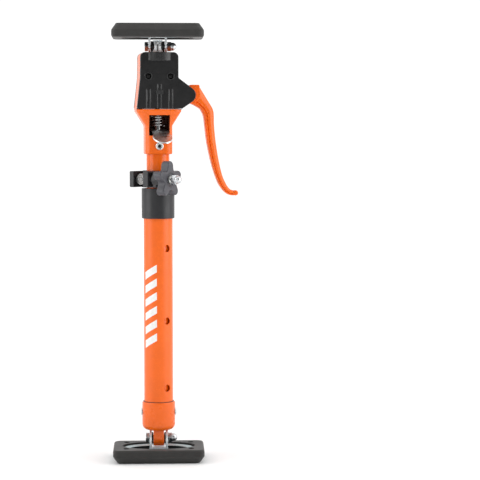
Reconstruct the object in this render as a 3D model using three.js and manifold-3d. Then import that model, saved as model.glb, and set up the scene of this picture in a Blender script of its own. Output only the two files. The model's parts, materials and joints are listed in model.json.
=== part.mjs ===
// Telescopic support pole with a trigger head: it stands on a tilting rubber foot and pushes a
// tilting rubber pad against a ceiling, a cabinet or a board. Millimetres, +Z up, origin at the
// middle of the foot pad's ground face. The head turns on the pole, so it has a group of its own.
import * as THREE from 'three';
import { mergeVertices } from 'three/addons/utils/BufferGeometryUtils.js';
import Module from 'manifold-3d';

const wasm = await Module();
wasm.setup();

// ---------------------------------------------------------------- driving dimensions
const GAP = 0.3; // running gap between neighbouring pieces
const HEIGHT = 484; // closed, ground to top face
const LIFT = 2; // heights in the tubes and the head are measured from this far above the ground
const HEAD_TURN = 7; // degrees that the head stands turned on the pole

const PAD = { width: 101, depth: 66, thick: 15.5, slope: 7.8, side: 13.2, holeX: 36, holeY: 20, holeR: 3 };
const DISH = { halfX: 39.5, halfY: 21.5, bottom: 10.4, floor: 12, rim: 15.2 };
const BRACKET = { gap: 15.8, plate: 2.2, web: 14.5 };
const PIVOT = 24.6; // over the contact face, at both ends
const BOLT = { r: 3, headR: 5.7, head: 4, nut: 4.6, dome: 5.7 }; // M6 with hexagons 10 across flats
const TONGUE = { wide: 11.7, r: 9.4, earR: 8 };
const LUG = { end: 11, waist: 7.4, r: 7, earR: 6.2, bottom: 451.4 };
const SPACER_R = 6;

const SOCKET = { r: 18.25, bottom: 31.7, top: 63.7, rivetZ: 52, rivetR: 2.5, rivetHead: 4.35 };
const OUTER = { r: 16, wall: 1.5, bottom: 38, top: 301 };
const INNER = { r: 12.7, wall: 1.5, bottom: 62, top: 354.7 };
const HOLE = { r: 4, heights: [79.6, 154.6, 235], turn: 38 }; // turned to the right of the front
const BUTTON_R = 3.7;

const COLLAR = { r: 18.2, bottom: 268, slit: 301.2, slitHigh: 1.4, top: 321 };
const CLAMP = { z: 311.8, out: 22, turn: 36, earHigh: 17.6, reach: 30 }; // bolt axis, out from the pole's axis
const EAR = { left: -17.2, split: 8.4, right: 11.6, end: 17 }; // along the bolt axis
const POCKET = { left: -11.6, right: 1.4 };
const BARREL = { r: 6.2, x: -5.1, front: 25.7, back: 14.3 };
const KNOB = { r: 20.2, back: 23.2, face: 33.6, lobes: 5, hollow: 4.5 };

const ROD = { r: 4, bottom: 213, top: 453.9 };
const NECK = { half: 15.1, corner: 8, bottom: 339, top: 370, flare: 388.5 };
const BODY = { half: 12, top: 450.8, corner: 5.5, sideTop: 21, sideLow: 25, knee: 422.8 };
const COVER = { inner: 12.3, outer: 17, bossR: 14.2, bossFlat: 0.55, bossHigh: 9.2 };
const HANDLE = { x: 31.6, z: 404, hubR: 8, lobeR: 8.7, half: 7 };
const SCREW = { x: 12.3, z: 424.5, r: 2, recessR: 3.1 };
const SPRING = { r: 5.1, wire: 1.1 };
const BRAKE_SPRING = { r: 7, wire: 1.5 };

const ORANGE = '#f0691c';
const BLACK = '#2b2b2b';
const GREY = '#5c5c5e';
const ZINC = '#c3c9cc';
const RUBBER = '#3c3a35';

// ---------------------------------------------------------------- solids and meshes
const rad = THREE.MathUtils.degToRad;

function solid(geometry) {
  const bare = geometry.clone();
  bare.deleteAttribute('normal');
  bare.deleteAttribute('uv');
  const merged = mergeVertices(bare, 1e-4);
  return new wasm.Manifold(new wasm.Mesh({
    numProp: 3,
    vertProperties: new Float32Array(merged.attributes.position.array),
    triVerts: new Uint32Array(merged.index.array),
  }));
}

function geometryOf(body) {
  const cut = body.getMesh();
  const geometry = new THREE.BufferGeometry();
  geometry.setAttribute('position', new THREE.BufferAttribute(cut.vertProperties, 3));
  geometry.setIndex(new THREE.BufferAttribute(cut.triVerts, 1));
  geometry.computeVertexNormals();
  return geometry;
}

function box(x0, x1, y0, y1, z0, z1) {
  const geometry = new THREE.BoxGeometry(x1 - x0, y1 - y0, z1 - z0);
  return solid(geometry.translate((x0 + x1) / 2, (y0 + y1) / 2, (z0 + z1) / 2));
}

// A turned piece about Z, from [radius, z] pairs that run from the low end to the high end.
function turned(profile, sides = 28) {
  const points = profile.map(([r, z]) => new THREE.Vector2(r, z));
  return solid(new THREE.LatheGeometry(points, sides).rotateX(Math.PI / 2));
}

function ring(inner, outer, z0, z1, sides = 28) {
  return turned([[inner, z0], [outer, z0], [outer, z1], [inner, z1], [inner, z0]], sides);
}

function rod(r, z0, z1, sides = 20) {
  return turned([[0, z0], [r, z0], [r, z1], [0, z1]], sides);
}

function alongX(body) {
  return body.rotate([0, 90, 0]);
}

function alongY(body) {
  return body.rotate([-90, 0, 0]);
}

// An outline drawn in X and Z, as thick as y0 to y1, with an optional rounded edge.
function slab(shape, y0, y1, bevel = 0, curve = 8) {
  const options = { depth: y1 - y0 - 2 * bevel, bevelEnabled: bevel > 0, curveSegments: curve };
  if (bevel > 0) {
    Object.assign(options, { bevelThickness: bevel, bevelSize: bevel, bevelOffset: -bevel, bevelSegments: 1 });
  }
  const geometry = new THREE.ExtrudeGeometry(shape, options);
  return solid(geometry.rotateX(Math.PI / 2).translate(0, y1 - bevel, 0));
}

function polygon(points) {
  return new THREE.Shape(points.map(([x, z]) => new THREE.Vector2(x, z)));
}

// The corners of a rounded rectangle, as the same number of points whatever its size.
function roundedRing(halfX, halfY, corner, z, steps = 3) {
  const points = [];
  for (let quarter = 0; quarter < 4; quarter++) {
    const signX = quarter === 0 || quarter === 3 ? 1 : -1;
    const signY = quarter < 2 ? 1 : -1;
    for (let i = 0; i <= steps; i++) {
      const angle = (quarter + i / steps) * Math.PI / 2;
      const x = signX * (halfX - corner) + corner * Math.cos(angle);
      const y = signY * (halfY - corner) + corner * Math.sin(angle);
      points.push(new THREE.Vector3(x, y, z));
    }
  }
  return points;
}

// A solid skinned over rings of points that have the same count, with flat ends.
function loft(rings) {
  const count = rings[0].length;
  const points = rings.flat();
  const faces = [];
  for (let k = 0; k < rings.length - 1; k++) {
    for (let i = 0; i < count; i++) {
      const a = k * count + i;
      const b = k * count + (i + 1) % count;
      faces.push(a, b, b + count, a, b + count, a + count);
    }
  }
  const last = (rings.length - 1) * count;
  for (let i = 1; i < count - 1; i++) {
    faces.push(0, i + 1, i, last, last + i, last + i + 1);
  }
  const geometry = new THREE.BufferGeometry().setFromPoints(points);
  geometry.setIndex(faces);
  return solid(geometry);
}

// Turned about the pole so that local +X points along the clamp bolt, to the right and the front.
function toClamp(body) {
  return body.rotate([0, 0, -CLAMP.turn]);
}

function hexBolt(headX, tipX) {
  const head = turned([[0, headX], [BOLT.headR, headX], [BOLT.headR, headX + BOLT.head], [0, headX + BOLT.head]], 6);
  return head.add(rod(BOLT.r, headX + BOLT.head - 1, tipX, 16));
}

// An acorn nut from x, pointing to +X, with its bore open at the back.
function capNut(x) {
  const hexagon = rod(BOLT.headR, x, x + BOLT.nut, 6);
  const dome = [[0, x + BOLT.nut - 1], [4.6, x + BOLT.nut - 1], [4.6, x + BOLT.nut + 2]];
  for (let i = 1; i <= 3; i++) {
    const angle = i * Math.PI / 6;
    dome.push([i === 3 ? 0 : 4.6 * Math.cos(angle), x + BOLT.nut + 2 + (BOLT.dome - 2) * Math.sin(angle)]);
  }
  return hexagon.add(turned(dome, 12)).subtract(rod(BOLT.r + 0.25, x - 1, x + BOLT.nut + 2.5, 12));
}

// A compression spring about Z, with closed ends.
function coil(z0, z1, turns, { r, wire } = SPRING) {
  const points = [];
  const steps = turns * 8;
  for (let i = 0; i <= steps; i++) {
    const angle = i / steps * turns * 2 * Math.PI;
    const z = z0 + wire / 2 + (z1 - z0 - wire) * i / steps;
    points.push(new THREE.Vector3(r * Math.cos(angle), r * Math.sin(angle), z));
  }
  const path = new THREE.CatmullRomCurve3(points);
  const section = new THREE.Shape();
  section.absarc(0, 0, wire / 2, 0, 2 * Math.PI);
  return solid(new THREE.ExtrudeGeometry(section, {
    extrudePath: path, steps: steps, bevelEnabled: false, curveSegments: 3,
  }));
}

const root = new THREE.Group();
const pole = new THREE.Group();
pole.position.z = LIFT;
const head = new THREE.Group();
head.rotation.z = rad(HEAD_TURN);

function add(name, body, color, { metal = 0, rough = 0.5, group = pole } = {}) {
  const material = new THREE.MeshStandardMaterial({ color, metalness: metal, roughness: rough });
  const mesh = new THREE.Mesh(geometryOf(body), material);
  mesh.name = name;
  group.add(mesh);
}

const STEEL = { metal: 0.9, rough: 0.35 };
const inHead = (look = {}) => ({ ...look, group: head });
const inEnd = (look = {}) => ({ ...look, group: root });

// ---------------------------------------------------------------- foot and top pad, alike
// Each is drawn as the foot, its contact face at z 0; the top one is turned over.
function padBody() {
  const { width, depth, thick, slope, side } = PAD;
  const levels = [[5.2, 0], [4.3, 1.2], [0, slope], [0, side], [1, thick - 0.5], [2.2, thick]]; // inset and height
  let pad = loft(levels.map(([inset, z]) => roundedRing(width / 2 - inset, depth / 2 - inset, 6, z)));
  for (const x of [-PAD.holeX, PAD.holeX]) {
    for (const y of [-PAD.holeY, PAD.holeY]) {
      pad = pad.subtract(rod(PAD.holeR, -1, thick + 1, 10).translate([x, y, 0]));
    }
  }
  const recess = rod(1, DISH.bottom - GAP, thick + 1, 32).scale([DISH.halfX + 0.8, DISH.halfY + 0.8, 1]);
  return pad.subtract(recess);
}

function dishBody() {
  const { halfX, halfY, bottom, floor, rim } = DISH;
  const profile = [
    [0, bottom], [0.95, bottom], [1, bottom + 1], [1, rim - 0.8], [0.97, rim], [0.92, rim], [0.88, rim - 0.8],
    [0.86, floor + 0.6], [0.83, floor], [0, floor],
  ];
  return turned(profile, 32).scale([halfX, halfY, 1]);
}

function earShape(earR, low) {
  const shape = new THREE.Shape();
  shape.moveTo(-earR, low);
  shape.lineTo(earR, low);
  shape.absarc(0, PIVOT, earR, 0, Math.PI);
  return shape;
}

// An outline drawn in Y and Z, as wide as x0 to x1.
function sideSlab(shape, x0, x1) {
  return slab(shape, -x1, -x0).rotate([0, 0, 90]);
}

function bracketBody(earR) {
  const inner = BRACKET.gap / 2;
  const outer = inner + BRACKET.plate;
  const low = DISH.floor + GAP;
  const web = box(-outer, outer, -earR, earR, low, BRACKET.web);
  const left = sideSlab(earShape(earR, low), -outer, -inner);
  const right = sideSlab(earShape(earR, low), inner, outer);
  return web.add(left).add(right).subtract(boltBore(PIVOT));
}

function boltBore(z) {
  return alongX(rod(BOLT.r + GAP, -20, 20, 16)).translate([0, 0, z]);
}

// Domed towards the piece it holds in the middle.
function spacerBody(x0, x1, r) {
  const bore = BOLT.r + GAP;
  const dome = (x1 - x0) * 0.7;
  const profile = [[bore, x0], [r - 2, x0 + 0.1 * dome], [r - 0.5, x0 + 0.6 * dome], [r, x0 + dome], [r, x1], [bore, x1]];
  return alongX(turned([...profile, [bore, x0]], 16));
}

const bracketFace = BRACKET.gap / 2 + BRACKET.plate + GAP;
const turnOver = (body) => body.rotate([180, 0, 0]).translate([0, 0, HEIGHT]);

const ENDS = [
  { name: 'foot', earR: TONGUE.earR, held: TONGUE.wide, place: (body) => body },
  { name: 'top', earR: LUG.earR, held: LUG.waist, place: turnOver },
];

for (const { name, earR, held, place } of ENDS) {
  const atPivot = (body) => place(alongX(body).translate([0, 0, PIVOT]));
  add(`${name}_pad`, place(padBody()), RUBBER, inEnd({ rough: 0.85 }));
  add(`${name}_plate`, place(dishBody()), ZINC, inEnd(STEEL));
  add(`${name}_bracket`, place(bracketBody(earR)), ZINC, inEnd(STEEL));
  add(`${name}_pivot_bolt`, atPivot(hexBolt(-bracketFace - BOLT.head, bracketFace + BOLT.nut + 1)), ZINC, inEnd(STEEL));
  add(`${name}_cap_nut`, atPivot(capNut(bracketFace)), ZINC, inEnd(STEEL));
  const spacer = spacerBody(held / 2 + 0.2, BRACKET.gap / 2 - 0.2, SPACER_R);
  add(`${name}_spacer_left`, place(spacer.rotate([0, 180, 0]).translate([0, 0, PIVOT])), BLACK, inEnd());
  add(`${name}_spacer_right`, place(spacer.translate([0, 0, PIVOT])), BLACK, inEnd());
}

// ---------------------------------------------------------------- foot socket and its rivet
function socketBody() {
  const { r, bottom, top } = SOCKET;
  const cup = turned([[0, bottom], [12, bottom], [r - 1.2, bottom + 2.2], [r, bottom + 4], [r, top - 0.8], [r - 0.6, top], [0, top]]);
  const tongue = sideSlab(tongueShape(), -TONGUE.wide / 2, TONGUE.wide / 2);
  const seat = rod(OUTER.r + GAP, OUTER.bottom - GAP, top + 1);
  const cross = alongX(rod(SOCKET.rivetR + GAP, -30, 30, 16)).translate([0, 0, SOCKET.rivetZ]);
  return cup.add(tongue).subtract(seat).subtract(boltBore(PIVOT - LIFT)).subtract(cross);
}

// The tongue hangs from the cup and is round about the pivot.
function tongueShape() {
  const shape = new THREE.Shape();
  shape.moveTo(TONGUE.r, SOCKET.bottom + 2);
  shape.lineTo(-TONGUE.r, SOCKET.bottom + 2);
  shape.absarc(0, PIVOT - LIFT, TONGUE.r, Math.PI, 2 * Math.PI);
  return shape;
}

function socketRivet() {
  const face = SOCKET.r + GAP;
  const domed = [
    [0, -face - 1.3], [SOCKET.rivetHead - 1.6, -face - 1.3], [SOCKET.rivetHead, -face - 0.3], [SOCKET.rivetHead, -face],
    [SOCKET.rivetR, -face], [SOCKET.rivetR, face], [SOCKET.rivetHead, face], [SOCKET.rivetHead, face + 0.3],
    [SOCKET.rivetHead - 1.6, face + 1.3], [0, face + 1.3],
  ];
  return alongX(turned(domed, 16)).translate([0, 0, SOCKET.rivetZ]);
}

add('foot_socket', socketBody(), ORANGE);
add('socket_rivet', socketRivet(), ZINC, STEEL);

// ---------------------------------------------------------------- tubes
// A drill through the wall on one side: angle is measured from the front towards the right.
function wallDrill(r, z, turn, from, to) {
  const along = rod(r, from, to, 16).rotate([90, 0, 0]);
  return along.rotate([0, 0, turn]).translate([0, 0, z]);
}

function outerTubeBody() {
  let tube = ring(OUTER.r - OUTER.wall, OUTER.r, OUTER.bottom, OUTER.top, 32);
  for (const z of HOLE.heights) {
    tube = tube.subtract(wallDrill(HOLE.r, z, HOLE.turn, 10, 20));
    tube = tube.subtract(wallDrill(HOLE.r, z, HOLE.turn + 180, 10, 20));
  }
  return tube.subtract(alongX(rod(SOCKET.rivetR + GAP, -30, 30, 16)).translate([0, 0, SOCKET.rivetZ]));
}

function innerTubeBody() {
  let tube = ring(INNER.r - INNER.wall, INNER.r, INNER.bottom, INNER.top, 32);
  tube = tube.subtract(wallDrill(HOLE.r, HOLE.heights[0], HOLE.turn + 180, 8, 16));
  for (const side of [0, 180]) {
    tube = tube.subtract(wallDrill(2.3, 348, HEAD_TURN + side, 8, 16));
  }
  return tube;
}

// The plug caps the lower end of the inner tube and centres it in the outer one.
function tubePlug() {
  const inside = INNER.r + GAP;
  const outside = OUTER.r - OUTER.wall - 0.25;
  const low = INNER.bottom - GAP;
  return turned([[9, low - 2], [outside, low - 2], [outside, 71], [inside, 71], [inside, low], [9, low], [9, low - 2]], 32);
}

function guideBush() {
  return ring(INNER.r + 0.25, OUTER.r - OUTER.wall - 0.25, 284, 300.6, 32);
}

add('outer_tube', outerTubeBody(), ORANGE);
add('guide_bush', guideBush(), BLACK);
add('inner_tube', innerTubeBody(), ORANGE);
add('tube_plug', tubePlug(), BLACK);

// The snap button points to the rear hole; its leaf spring stands behind it in the inner tube.
function snapButton() {
  const profile = [[0, 9.2], [5, 9.2], [5, 9.7], [BUTTON_R, 9.7], [BUTTON_R, 16.6], [2.6, 17.8], [0, 18.1]];
  return turned(profile, 16).rotate([90, 0, 0]).rotate([0, 0, HOLE.turn + 180]).translate([0, 0, HOLE.heights[0]]);
}

function buttonSpring() {
  const leaf = new THREE.Shape();
  const thick = 0.7;
  const back = 8.8;
  const bend = { z: 112, r: 8 };
  leaf.moveTo(-back, HOLE.heights[0] - 5);
  leaf.lineTo(-back, bend.z);
  leaf.absarc(0, bend.z, back, Math.PI, 0, true);
  leaf.lineTo(bend.r + 0.8, HOLE.heights[0] - 5);
  leaf.lineTo(back - thick, HOLE.heights[0] - 5);
  leaf.lineTo(back - thick, bend.z);
  leaf.absarc(0, bend.z, back - thick, 0, Math.PI, false);
  leaf.lineTo(-back + thick, HOLE.heights[0] - 5);
  return slab(leaf, -3.5, 3.5, 0, 6).rotate([0, 0, HOLE.turn - 90]);
}

add('snap_button', snapButton(), ZINC, STEEL);
add('button_spring', buttonSpring(), ZINC, STEEL);

// ---------------------------------------------------------------- clamp collar and knob
// Drawn with local +X along the bolt and local -Y away from the pole, then turned into place.
function collarBody() {
  const { r, bottom, slit, slitHigh, top } = COLLAR;
  const low = CLAMP.z - CLAMP.earHigh / 2;
  const high = low + CLAMP.earHigh;
  let collar = turned([[0, bottom], [r, bottom], [r, top - 1], [r - 1, top], [0, top]], 32);
  collar = collar.add(box(EAR.left, EAR.split, -CLAMP.reach, -8, low, high));
  collar = collar.add(box(EAR.right, EAR.end, -CLAMP.reach + 3.5, -8, low, high));
  collar = collar.add(atClamp(rod(7.4, EAR.right, 22.6, 20)));
  const insideTube = rod(OUTER.r + GAP, bottom - 1, slit, 32);
  const insideBand = rod(INNER.r + GAP, slit - 1, top + 1, 32);
  const split = box(EAR.split, EAR.right, -CLAMP.reach - 5, 0, slit, top + 1);
  const slitCut = box(-30, 30, -40, 9, slit, slit + slitHigh);
  const pocket = box(POCKET.left, POCKET.right, -CLAMP.reach - 1, -CLAMP.out + 8, low - 1, top + 1);
  const bore = atClamp(rod(BOLT.r + GAP, -14, 30, 16));
  for (const cut of [insideTube, insideBand, split, slitCut, pocket, bore]) {
    collar = collar.subtract(cut);
  }
  return toClamp(collar);
}

// A piece drawn about Z, laid along the bolt.
function atClamp(body) {
  return alongX(body).translate([0, -CLAMP.out, CLAMP.z]);
}

function barrelNut() {
  const barrel = rod(BARREL.r, BARREL.back, BARREL.front, 20).rotate([90, 0, 0]).translate([BARREL.x, 0, CLAMP.z]);
  return toClamp(barrel.subtract(atClamp(rod(BOLT.r + GAP, -20, 20, 16))));
}

function clampBolt() {
  return toClamp(atClamp(rod(BOLT.r, BARREL.x - BARREL.r + 1, KNOB.face + 8.5, 16)));
}

// Five round lobes about the bolt axis, joined by hollows.
function knobOutline() {
  const points = [];
  const steps = 40;
  for (let i = 0; i < steps; i++) {
    const angle = i / steps * 2 * Math.PI;
    const wave = Math.cos(KNOB.lobes * angle);
    const r = KNOB.r - KNOB.hollow + KNOB.hollow * Math.sign(wave) * Math.abs(wave) ** 0.7;
    points.push([r * Math.sin(angle), r * Math.cos(angle)]);
  }
  return polygon(points);
}

function knobBody() {
  const star = slab(knobOutline(), KNOB.back, KNOB.face, 1.2).rotate([0, 0, -90]);
  const dish = alongX(rod(8, KNOB.face - 1.2, KNOB.face + 1, 24));
  const bore = alongX(rod(4.6, KNOB.back - 1, KNOB.face + 1, 6));
  return toClamp(star.subtract(dish).subtract(bore).translate([0, -CLAMP.out, CLAMP.z]));
}

function knobInsert() {
  const insert = rod(4.2, KNOB.back + 0.2, KNOB.face - 0.6, 6).subtract(rod(BOLT.r + 0.2, 0, 60, 16));
  return toClamp(atClamp(insert));
}

add('clamp_collar', collarBody(), GREY, { rough: 0.6 });
add('clamp_barrel_nut', barrelNut(), ZINC, STEEL);
add('clamp_bolt', clampBolt(), ZINC, STEEL);
add('clamp_knob', knobBody(), GREY, { rough: 0.6 });
add('knob_insert', knobInsert(), ZINC, STEEL);
add('clamp_cap_nut', toClamp(atClamp(capNut(KNOB.face + 3))), ZINC, STEEL);

// ---------------------------------------------------------------- head housing
const CHAMBER = { half: 18.3, low: 388.6, high: 446.5 };
const WINDOW = { half: 11.4, low: 359.5, high: 382, back: 11 };

function bodyOutline() {
  return polygon([
    [-BODY.sideLow, NECK.flare - 0.5], [BODY.sideLow, NECK.flare - 0.5], [BODY.sideTop + 1.5, 398],
    [BODY.sideTop, BODY.knee], [BODY.sideTop, BODY.top - 4], [BODY.sideTop - 1.6, BODY.top - 1.6], [BODY.sideTop - 4, BODY.top],
    [-BODY.sideTop + 4, BODY.top], [-BODY.sideTop + 1.6, BODY.top - 1.6], [-BODY.sideTop, BODY.top - 4],
    [-BODY.sideTop - 0.3, BODY.knee],
  ]);
}

function housingBody() {
  const { half, corner, bottom, top, flare } = NECK;
  const neck = loft([
    roundedRing(half - 0.6, half - 0.6, corner, bottom),
    roundedRing(half, half, corner, bottom + 0.8),
    roundedRing(half, half, corner, top),
    roundedRing(BODY.sideLow, half + 1, corner, flare),
  ]);
  let housing = neck.add(slab(bodyOutline(), -BODY.half, BODY.half));
  const chamber = box(-CHAMBER.half, CHAMBER.half, -20, 20, CHAMBER.low, CHAMBER.high);
  const leverSlot = box(CHAMBER.half - 1, 40, -20, 20, CHAMBER.low, 417.5);
  housing = housing.subtract(chamber).subtract(leverSlot);
  for (const x of [-SCREW.x, SCREW.x]) {
    housing = housing.add(alongY(rod(4.4, -BODY.half, BODY.half, 16)).translate([x, 0, SCREW.z]));
    housing = housing.add(box(Math.min(x, Math.sign(x) * 19), Math.max(x, Math.sign(x) * 19), -4, 4, SCREW.z - 1.5, SCREW.z + 1.5));
    housing = housing.subtract(alongY(rod(SCREW.r + GAP, -20, 20, 12)).translate([x, 0, SCREW.z]));
  }
  housing = housing.add(box(-19, -14.6, -8, 8, 400, 404.2));
  housing = housing.subtract(box(-WINDOW.half, WINDOW.half, -30, WINDOW.back, WINDOW.low, WINDOW.high));
  housing = housing.subtract(rod(INNER.r + GAP, bottom - 1, INNER.top + GAP, 32));
  housing = housing.subtract(rod(6.3, 350, WINDOW.low + 1));
  housing = housing.subtract(rod(ROD.r + 0.6, WINDOW.high - 1, CHAMBER.low + 1));
  housing = housing.subtract(rod(6.8, CHAMBER.high - 1, BODY.top + 1));
  housing = housing.subtract(alongY(rod(2.3, -20, 20, 16)).translate([0, 0, 348]));
  return housing;
}

// One tubular rivet, through the neck's wall and the tube's, headed outside.
function neckRivet(side) {
  const profile = [
    [0, 9.7], [2, 9.7], [2, NECK.half + GAP], [4.3, NECK.half + GAP], [4.3, NECK.half + 0.8], [3.2, NECK.half + 1.6],
    [1.7, NECK.half + 1.6], [1.2, NECK.half - 1], [0, NECK.half - 1],
  ];
  return turned(profile, 16).rotate([90, 0, 0]).rotate([0, 0, side === 'front' ? 0 : 180]).translate([0, 0, 348]);
}

add('head_housing', housingBody(), ORANGE, inHead());
for (const side of ['front', 'back']) {
  add(`neck_rivet_${side}`, neckRivet(side), ZINC, inHead(STEEL));
}

// ---------------------------------------------------------------- covers and their screws
function coverOutline() {
  const lobe = { x: HANDLE.x, z: HANDLE.z, r: HANDLE.lobeR };
  const top = BODY.top;
  const side = BODY.sideTop;
  const corner = BODY.corner;
  const upper = rad(53);
  const lower = rad(-52);
  const shape = new THREE.Shape();
  shape.moveTo(-BODY.sideLow, NECK.flare);
  shape.lineTo(BODY.sideLow, NECK.flare);
  shape.absarc(lobe.x, lobe.z, lobe.r, lower, upper, false);
  shape.lineTo(side, BODY.knee);
  shape.lineTo(side, top - corner);
  shape.absarc(side - corner, top - corner, corner, 0, Math.PI / 2, false);
  shape.absarc(-side + corner, top - corner, corner, Math.PI / 2, Math.PI, false);
  shape.lineTo(-side - 0.3, BODY.knee);
  return shape;
}

// The front cover; the back one is the same, seen from behind, with nut pockets for screw holes.
function coverBody(side) {
  const front = side === 'front';
  const [y0, y1] = front ? [-COVER.outer, -COVER.inner] : [COVER.inner, COVER.outer];
  const out = front ? -1 : 1;
  let cover = slab(coverOutline(), y0, y1, 0.9, 5);
  const boss = rod(COVER.bossR, BODY.top - COVER.bossHigh, BODY.top, 24).scale([1, COVER.bossFlat, 1]);
  const outward = front ? box(-20, 20, -30, -COVER.inner, 430, 460) : box(-20, 20, COVER.inner, 30, 430, 460);
  cover = cover.add(boss.translate([0, out * (COVER.outer - 4), 0]).intersect(outward));
  for (const x of [-SCREW.x, SCREW.x]) {
    const wide = alongY(rod(SCREW.recessR, -20, 20, front ? 20 : 6));
    const deep = wide.translate([x, out * (20 + COVER.inner + 1.6), SCREW.z]);
    cover = cover.subtract(deep).subtract(alongY(rod(SCREW.r + GAP, -20, 20, 12)).translate([x, 0, SCREW.z]));
  }
  const pinSeat = alongY(rod(3.2, -15.4, 15.4, 16)).translate([HANDLE.x, 0, HANDLE.z]);
  return cover.subtract(pinSeat).subtract(rod(ROD.r + 2.9, CHAMBER.high, BODY.top + 1));
}

for (const side of ['front', 'back']) {
  add(`${side}_cover`, coverBody(side), BLACK, inHead({ rough: 0.45 }));
}

function coverScrew(x) {
  const headFace = COVER.inner + 1.9;
  const profile = [[0, -16.3], [SCREW.r, -16.3], [SCREW.r, headFace], [2.7, headFace], [2.7, headFace + 1.5], [0, headFace + 1.9]];
  return turned(profile, 12).rotate([90, 0, 0]).translate([x, 0, SCREW.z]);
}

function coverNut(x) {
  const nut = rod(2.9, COVER.inner + 1.9, COVER.inner + 4.2, 6).subtract(rod(SCREW.r + 0.15, 0, 30, 12));
  return nut.rotate([90, 0, 180]).translate([x, 0, SCREW.z]);
}

for (const [side, x] of [['left', -SCREW.x], ['right', SCREW.x]]) {
  add(`cover_screw_${side}`, coverScrew(x), BLACK, inHead(STEEL));
  add(`cover_nut_${side}`, coverNut(x), ZINC, inHead(STEEL));
}

// ---------------------------------------------------------------- rod, its guides and its lug
function rodStop() {
  const stop = turned([[ROD.r + 0.2, 217.5], [8, 217.5], [8.6, 218.1], [8.6, 222.5], [ROD.r + 0.2, 222.5], [ROD.r + 0.2, 217.5]], 24);
  return stop.subtract(alongX(rod(1.6, -20, 20, 12)).translate([0, 0, 220]));
}

function lugBody() {
  const low = LUG.bottom;
  const pivot = HEIGHT - PIVOT - LIFT;
  const top = pivot + LUG.r;
  const end = LUG.end / 2;
  const waist = LUG.waist / 2;
  const profile = [
    [end, low], [end - 0.6, low + 0.8], [waist, pivot - 4], [waist, pivot + 4], [end - 0.6, top - 0.8], [end, top],
  ];
  const front = [...profile, ...profile.slice().reverse().map(([x, z]) => [-x, z])];
  const side = new THREE.Shape();
  side.moveTo(-LUG.r + 0.5, low - 1);
  side.lineTo(LUG.r - 0.5, low - 1);
  side.absarc(0, pivot, LUG.r, 0, Math.PI, false);
  let lug = slab(polygon(front), -LUG.r, LUG.r).intersect(sideSlab(side, -10, 10));
  lug = lug.subtract(rod(ROD.r + 0.15, low - 1, ROD.top + 0.2, 20));
  lug = lug.subtract(boltBore(pivot));
  for (const y of [-LUG.r, LUG.r]) {
    lug = lug.subtract(box(-0.8, 0.8, y - 1.2, y + 1.2, low - 1, top + 1));
  }
  return lug;
}

add('push_rod', rod(ROD.r, ROD.bottom, ROD.top).subtract(alongX(rod(1.6, -20, 20, 12)).translate([0, 0, 220])), ZINC, STEEL);
add('rod_stop', rodStop(), BLACK);
add('rod_stop_pin', alongX(rod(1.4, -8.2, 8.2, 12)).translate([0, 0, 220]), ZINC, STEEL);
add('rod_lug', lugBody(), ZINC, STEEL);
add('lower_rod_bush', turned([
  [ROD.r + 0.2, 353], [9, 353], [9, 354.8], [6, 354.8], [6, 359.2], [ROD.r + 0.2, 359.2], [ROD.r + 0.2, 353],
], 24), BLACK, inHead());
add('upper_rod_bush', turned([
  [ROD.r + 0.2, 444.8], [8.2, 444.8], [8.2, 446.2], [6.5, 446.2], [6.5, 450.6], [ROD.r + 0.2, 450.6], [ROD.r + 0.2, 444.8],
], 24), BLACK, inHead());

// ---------------------------------------------------------------- drive plate, release plate, springs
function drivePlate() {
  return box(-17, 12.5, -8, 8, 404.5, 407.5).subtract(rod(ROD.r + 0.25, 400, 410, 24));
}

// Bent down where it leaves the window, with a half-round tip for the thumb.
function releasePlate() {
  const thick = 1.8;
  const bend = { y: -13.5, z: 364.6 };
  const rear = { y: 10, z: 368.2 };
  const tip = { y: -34, z: 351.9 };
  const section = polygon([
    [rear.y, rear.z], [bend.y, bend.z], [tip.y, tip.z], [tip.y + 1, tip.z - thick], [bend.y + 0.5, bend.z - thick - 0.2],
    [rear.y, rear.z - thick],
  ]);
  const tabR = 10.8;
  const stem = 8.6;
  const tabY = tip.y + tabR + 0.5;
  const plan = rod(tabR, 330, 390, 28).translate([0, tabY, 0]).add(box(-stem, stem, tabY, rear.y + 1, 330, 390));
  const plate = sideSlab(section, -tabR - 1, tabR + 1).intersect(plan);
  return plate.subtract(rod(ROD.r + 0.7, 340, 390, 24)).rotate([0, 0, 6]);
}

add('drive_plate', drivePlate(), ZINC, inHead(STEEL));
add('drive_spring', coil(407.9, 444.4, 7), ZINC, inHead(STEEL));
add('release_plate', releasePlate(), ZINC, inHead(STEEL));
add('brake_spring', coil(369.3, 381.6, 3, BRAKE_SPRING), ZINC, inHead(STEEL));

// ---------------------------------------------------------------- handle and its pin
function handleOutline() {
  const shape = new THREE.Shape();
  shape.moveTo(35.5, 415.6);
  shape.lineTo(45.6, 415.4);
  shape.lineTo(61, 389.5);
  shape.splineThru([[62.6, 384.5], [62.9, 370], [64.7, 352.3], [67.7, 333.4], [71.9, 315.7], [76.7, 305.7], [81.6, 299]]
    .map(([x, z]) => new THREE.Vector2(x, z)));
  shape.absarc(87.2, 295.4, 2.4, Math.PI / 2, -Math.PI / 2, true);
  shape.splineThru([[80.5, 293], [72.7, 297.5], [67.2, 306.3], [61.6, 320.7], [57.2, 337.4], [53.8, 355.1], [52.1, 369.5],
    [51.2, 380.6], [46.6, 389.5], [40.5, 392.8]].map(([x, z]) => new THREE.Vector2(x, z)));
  shape.lineTo(33, 394.5);
  return shape;
}

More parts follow.
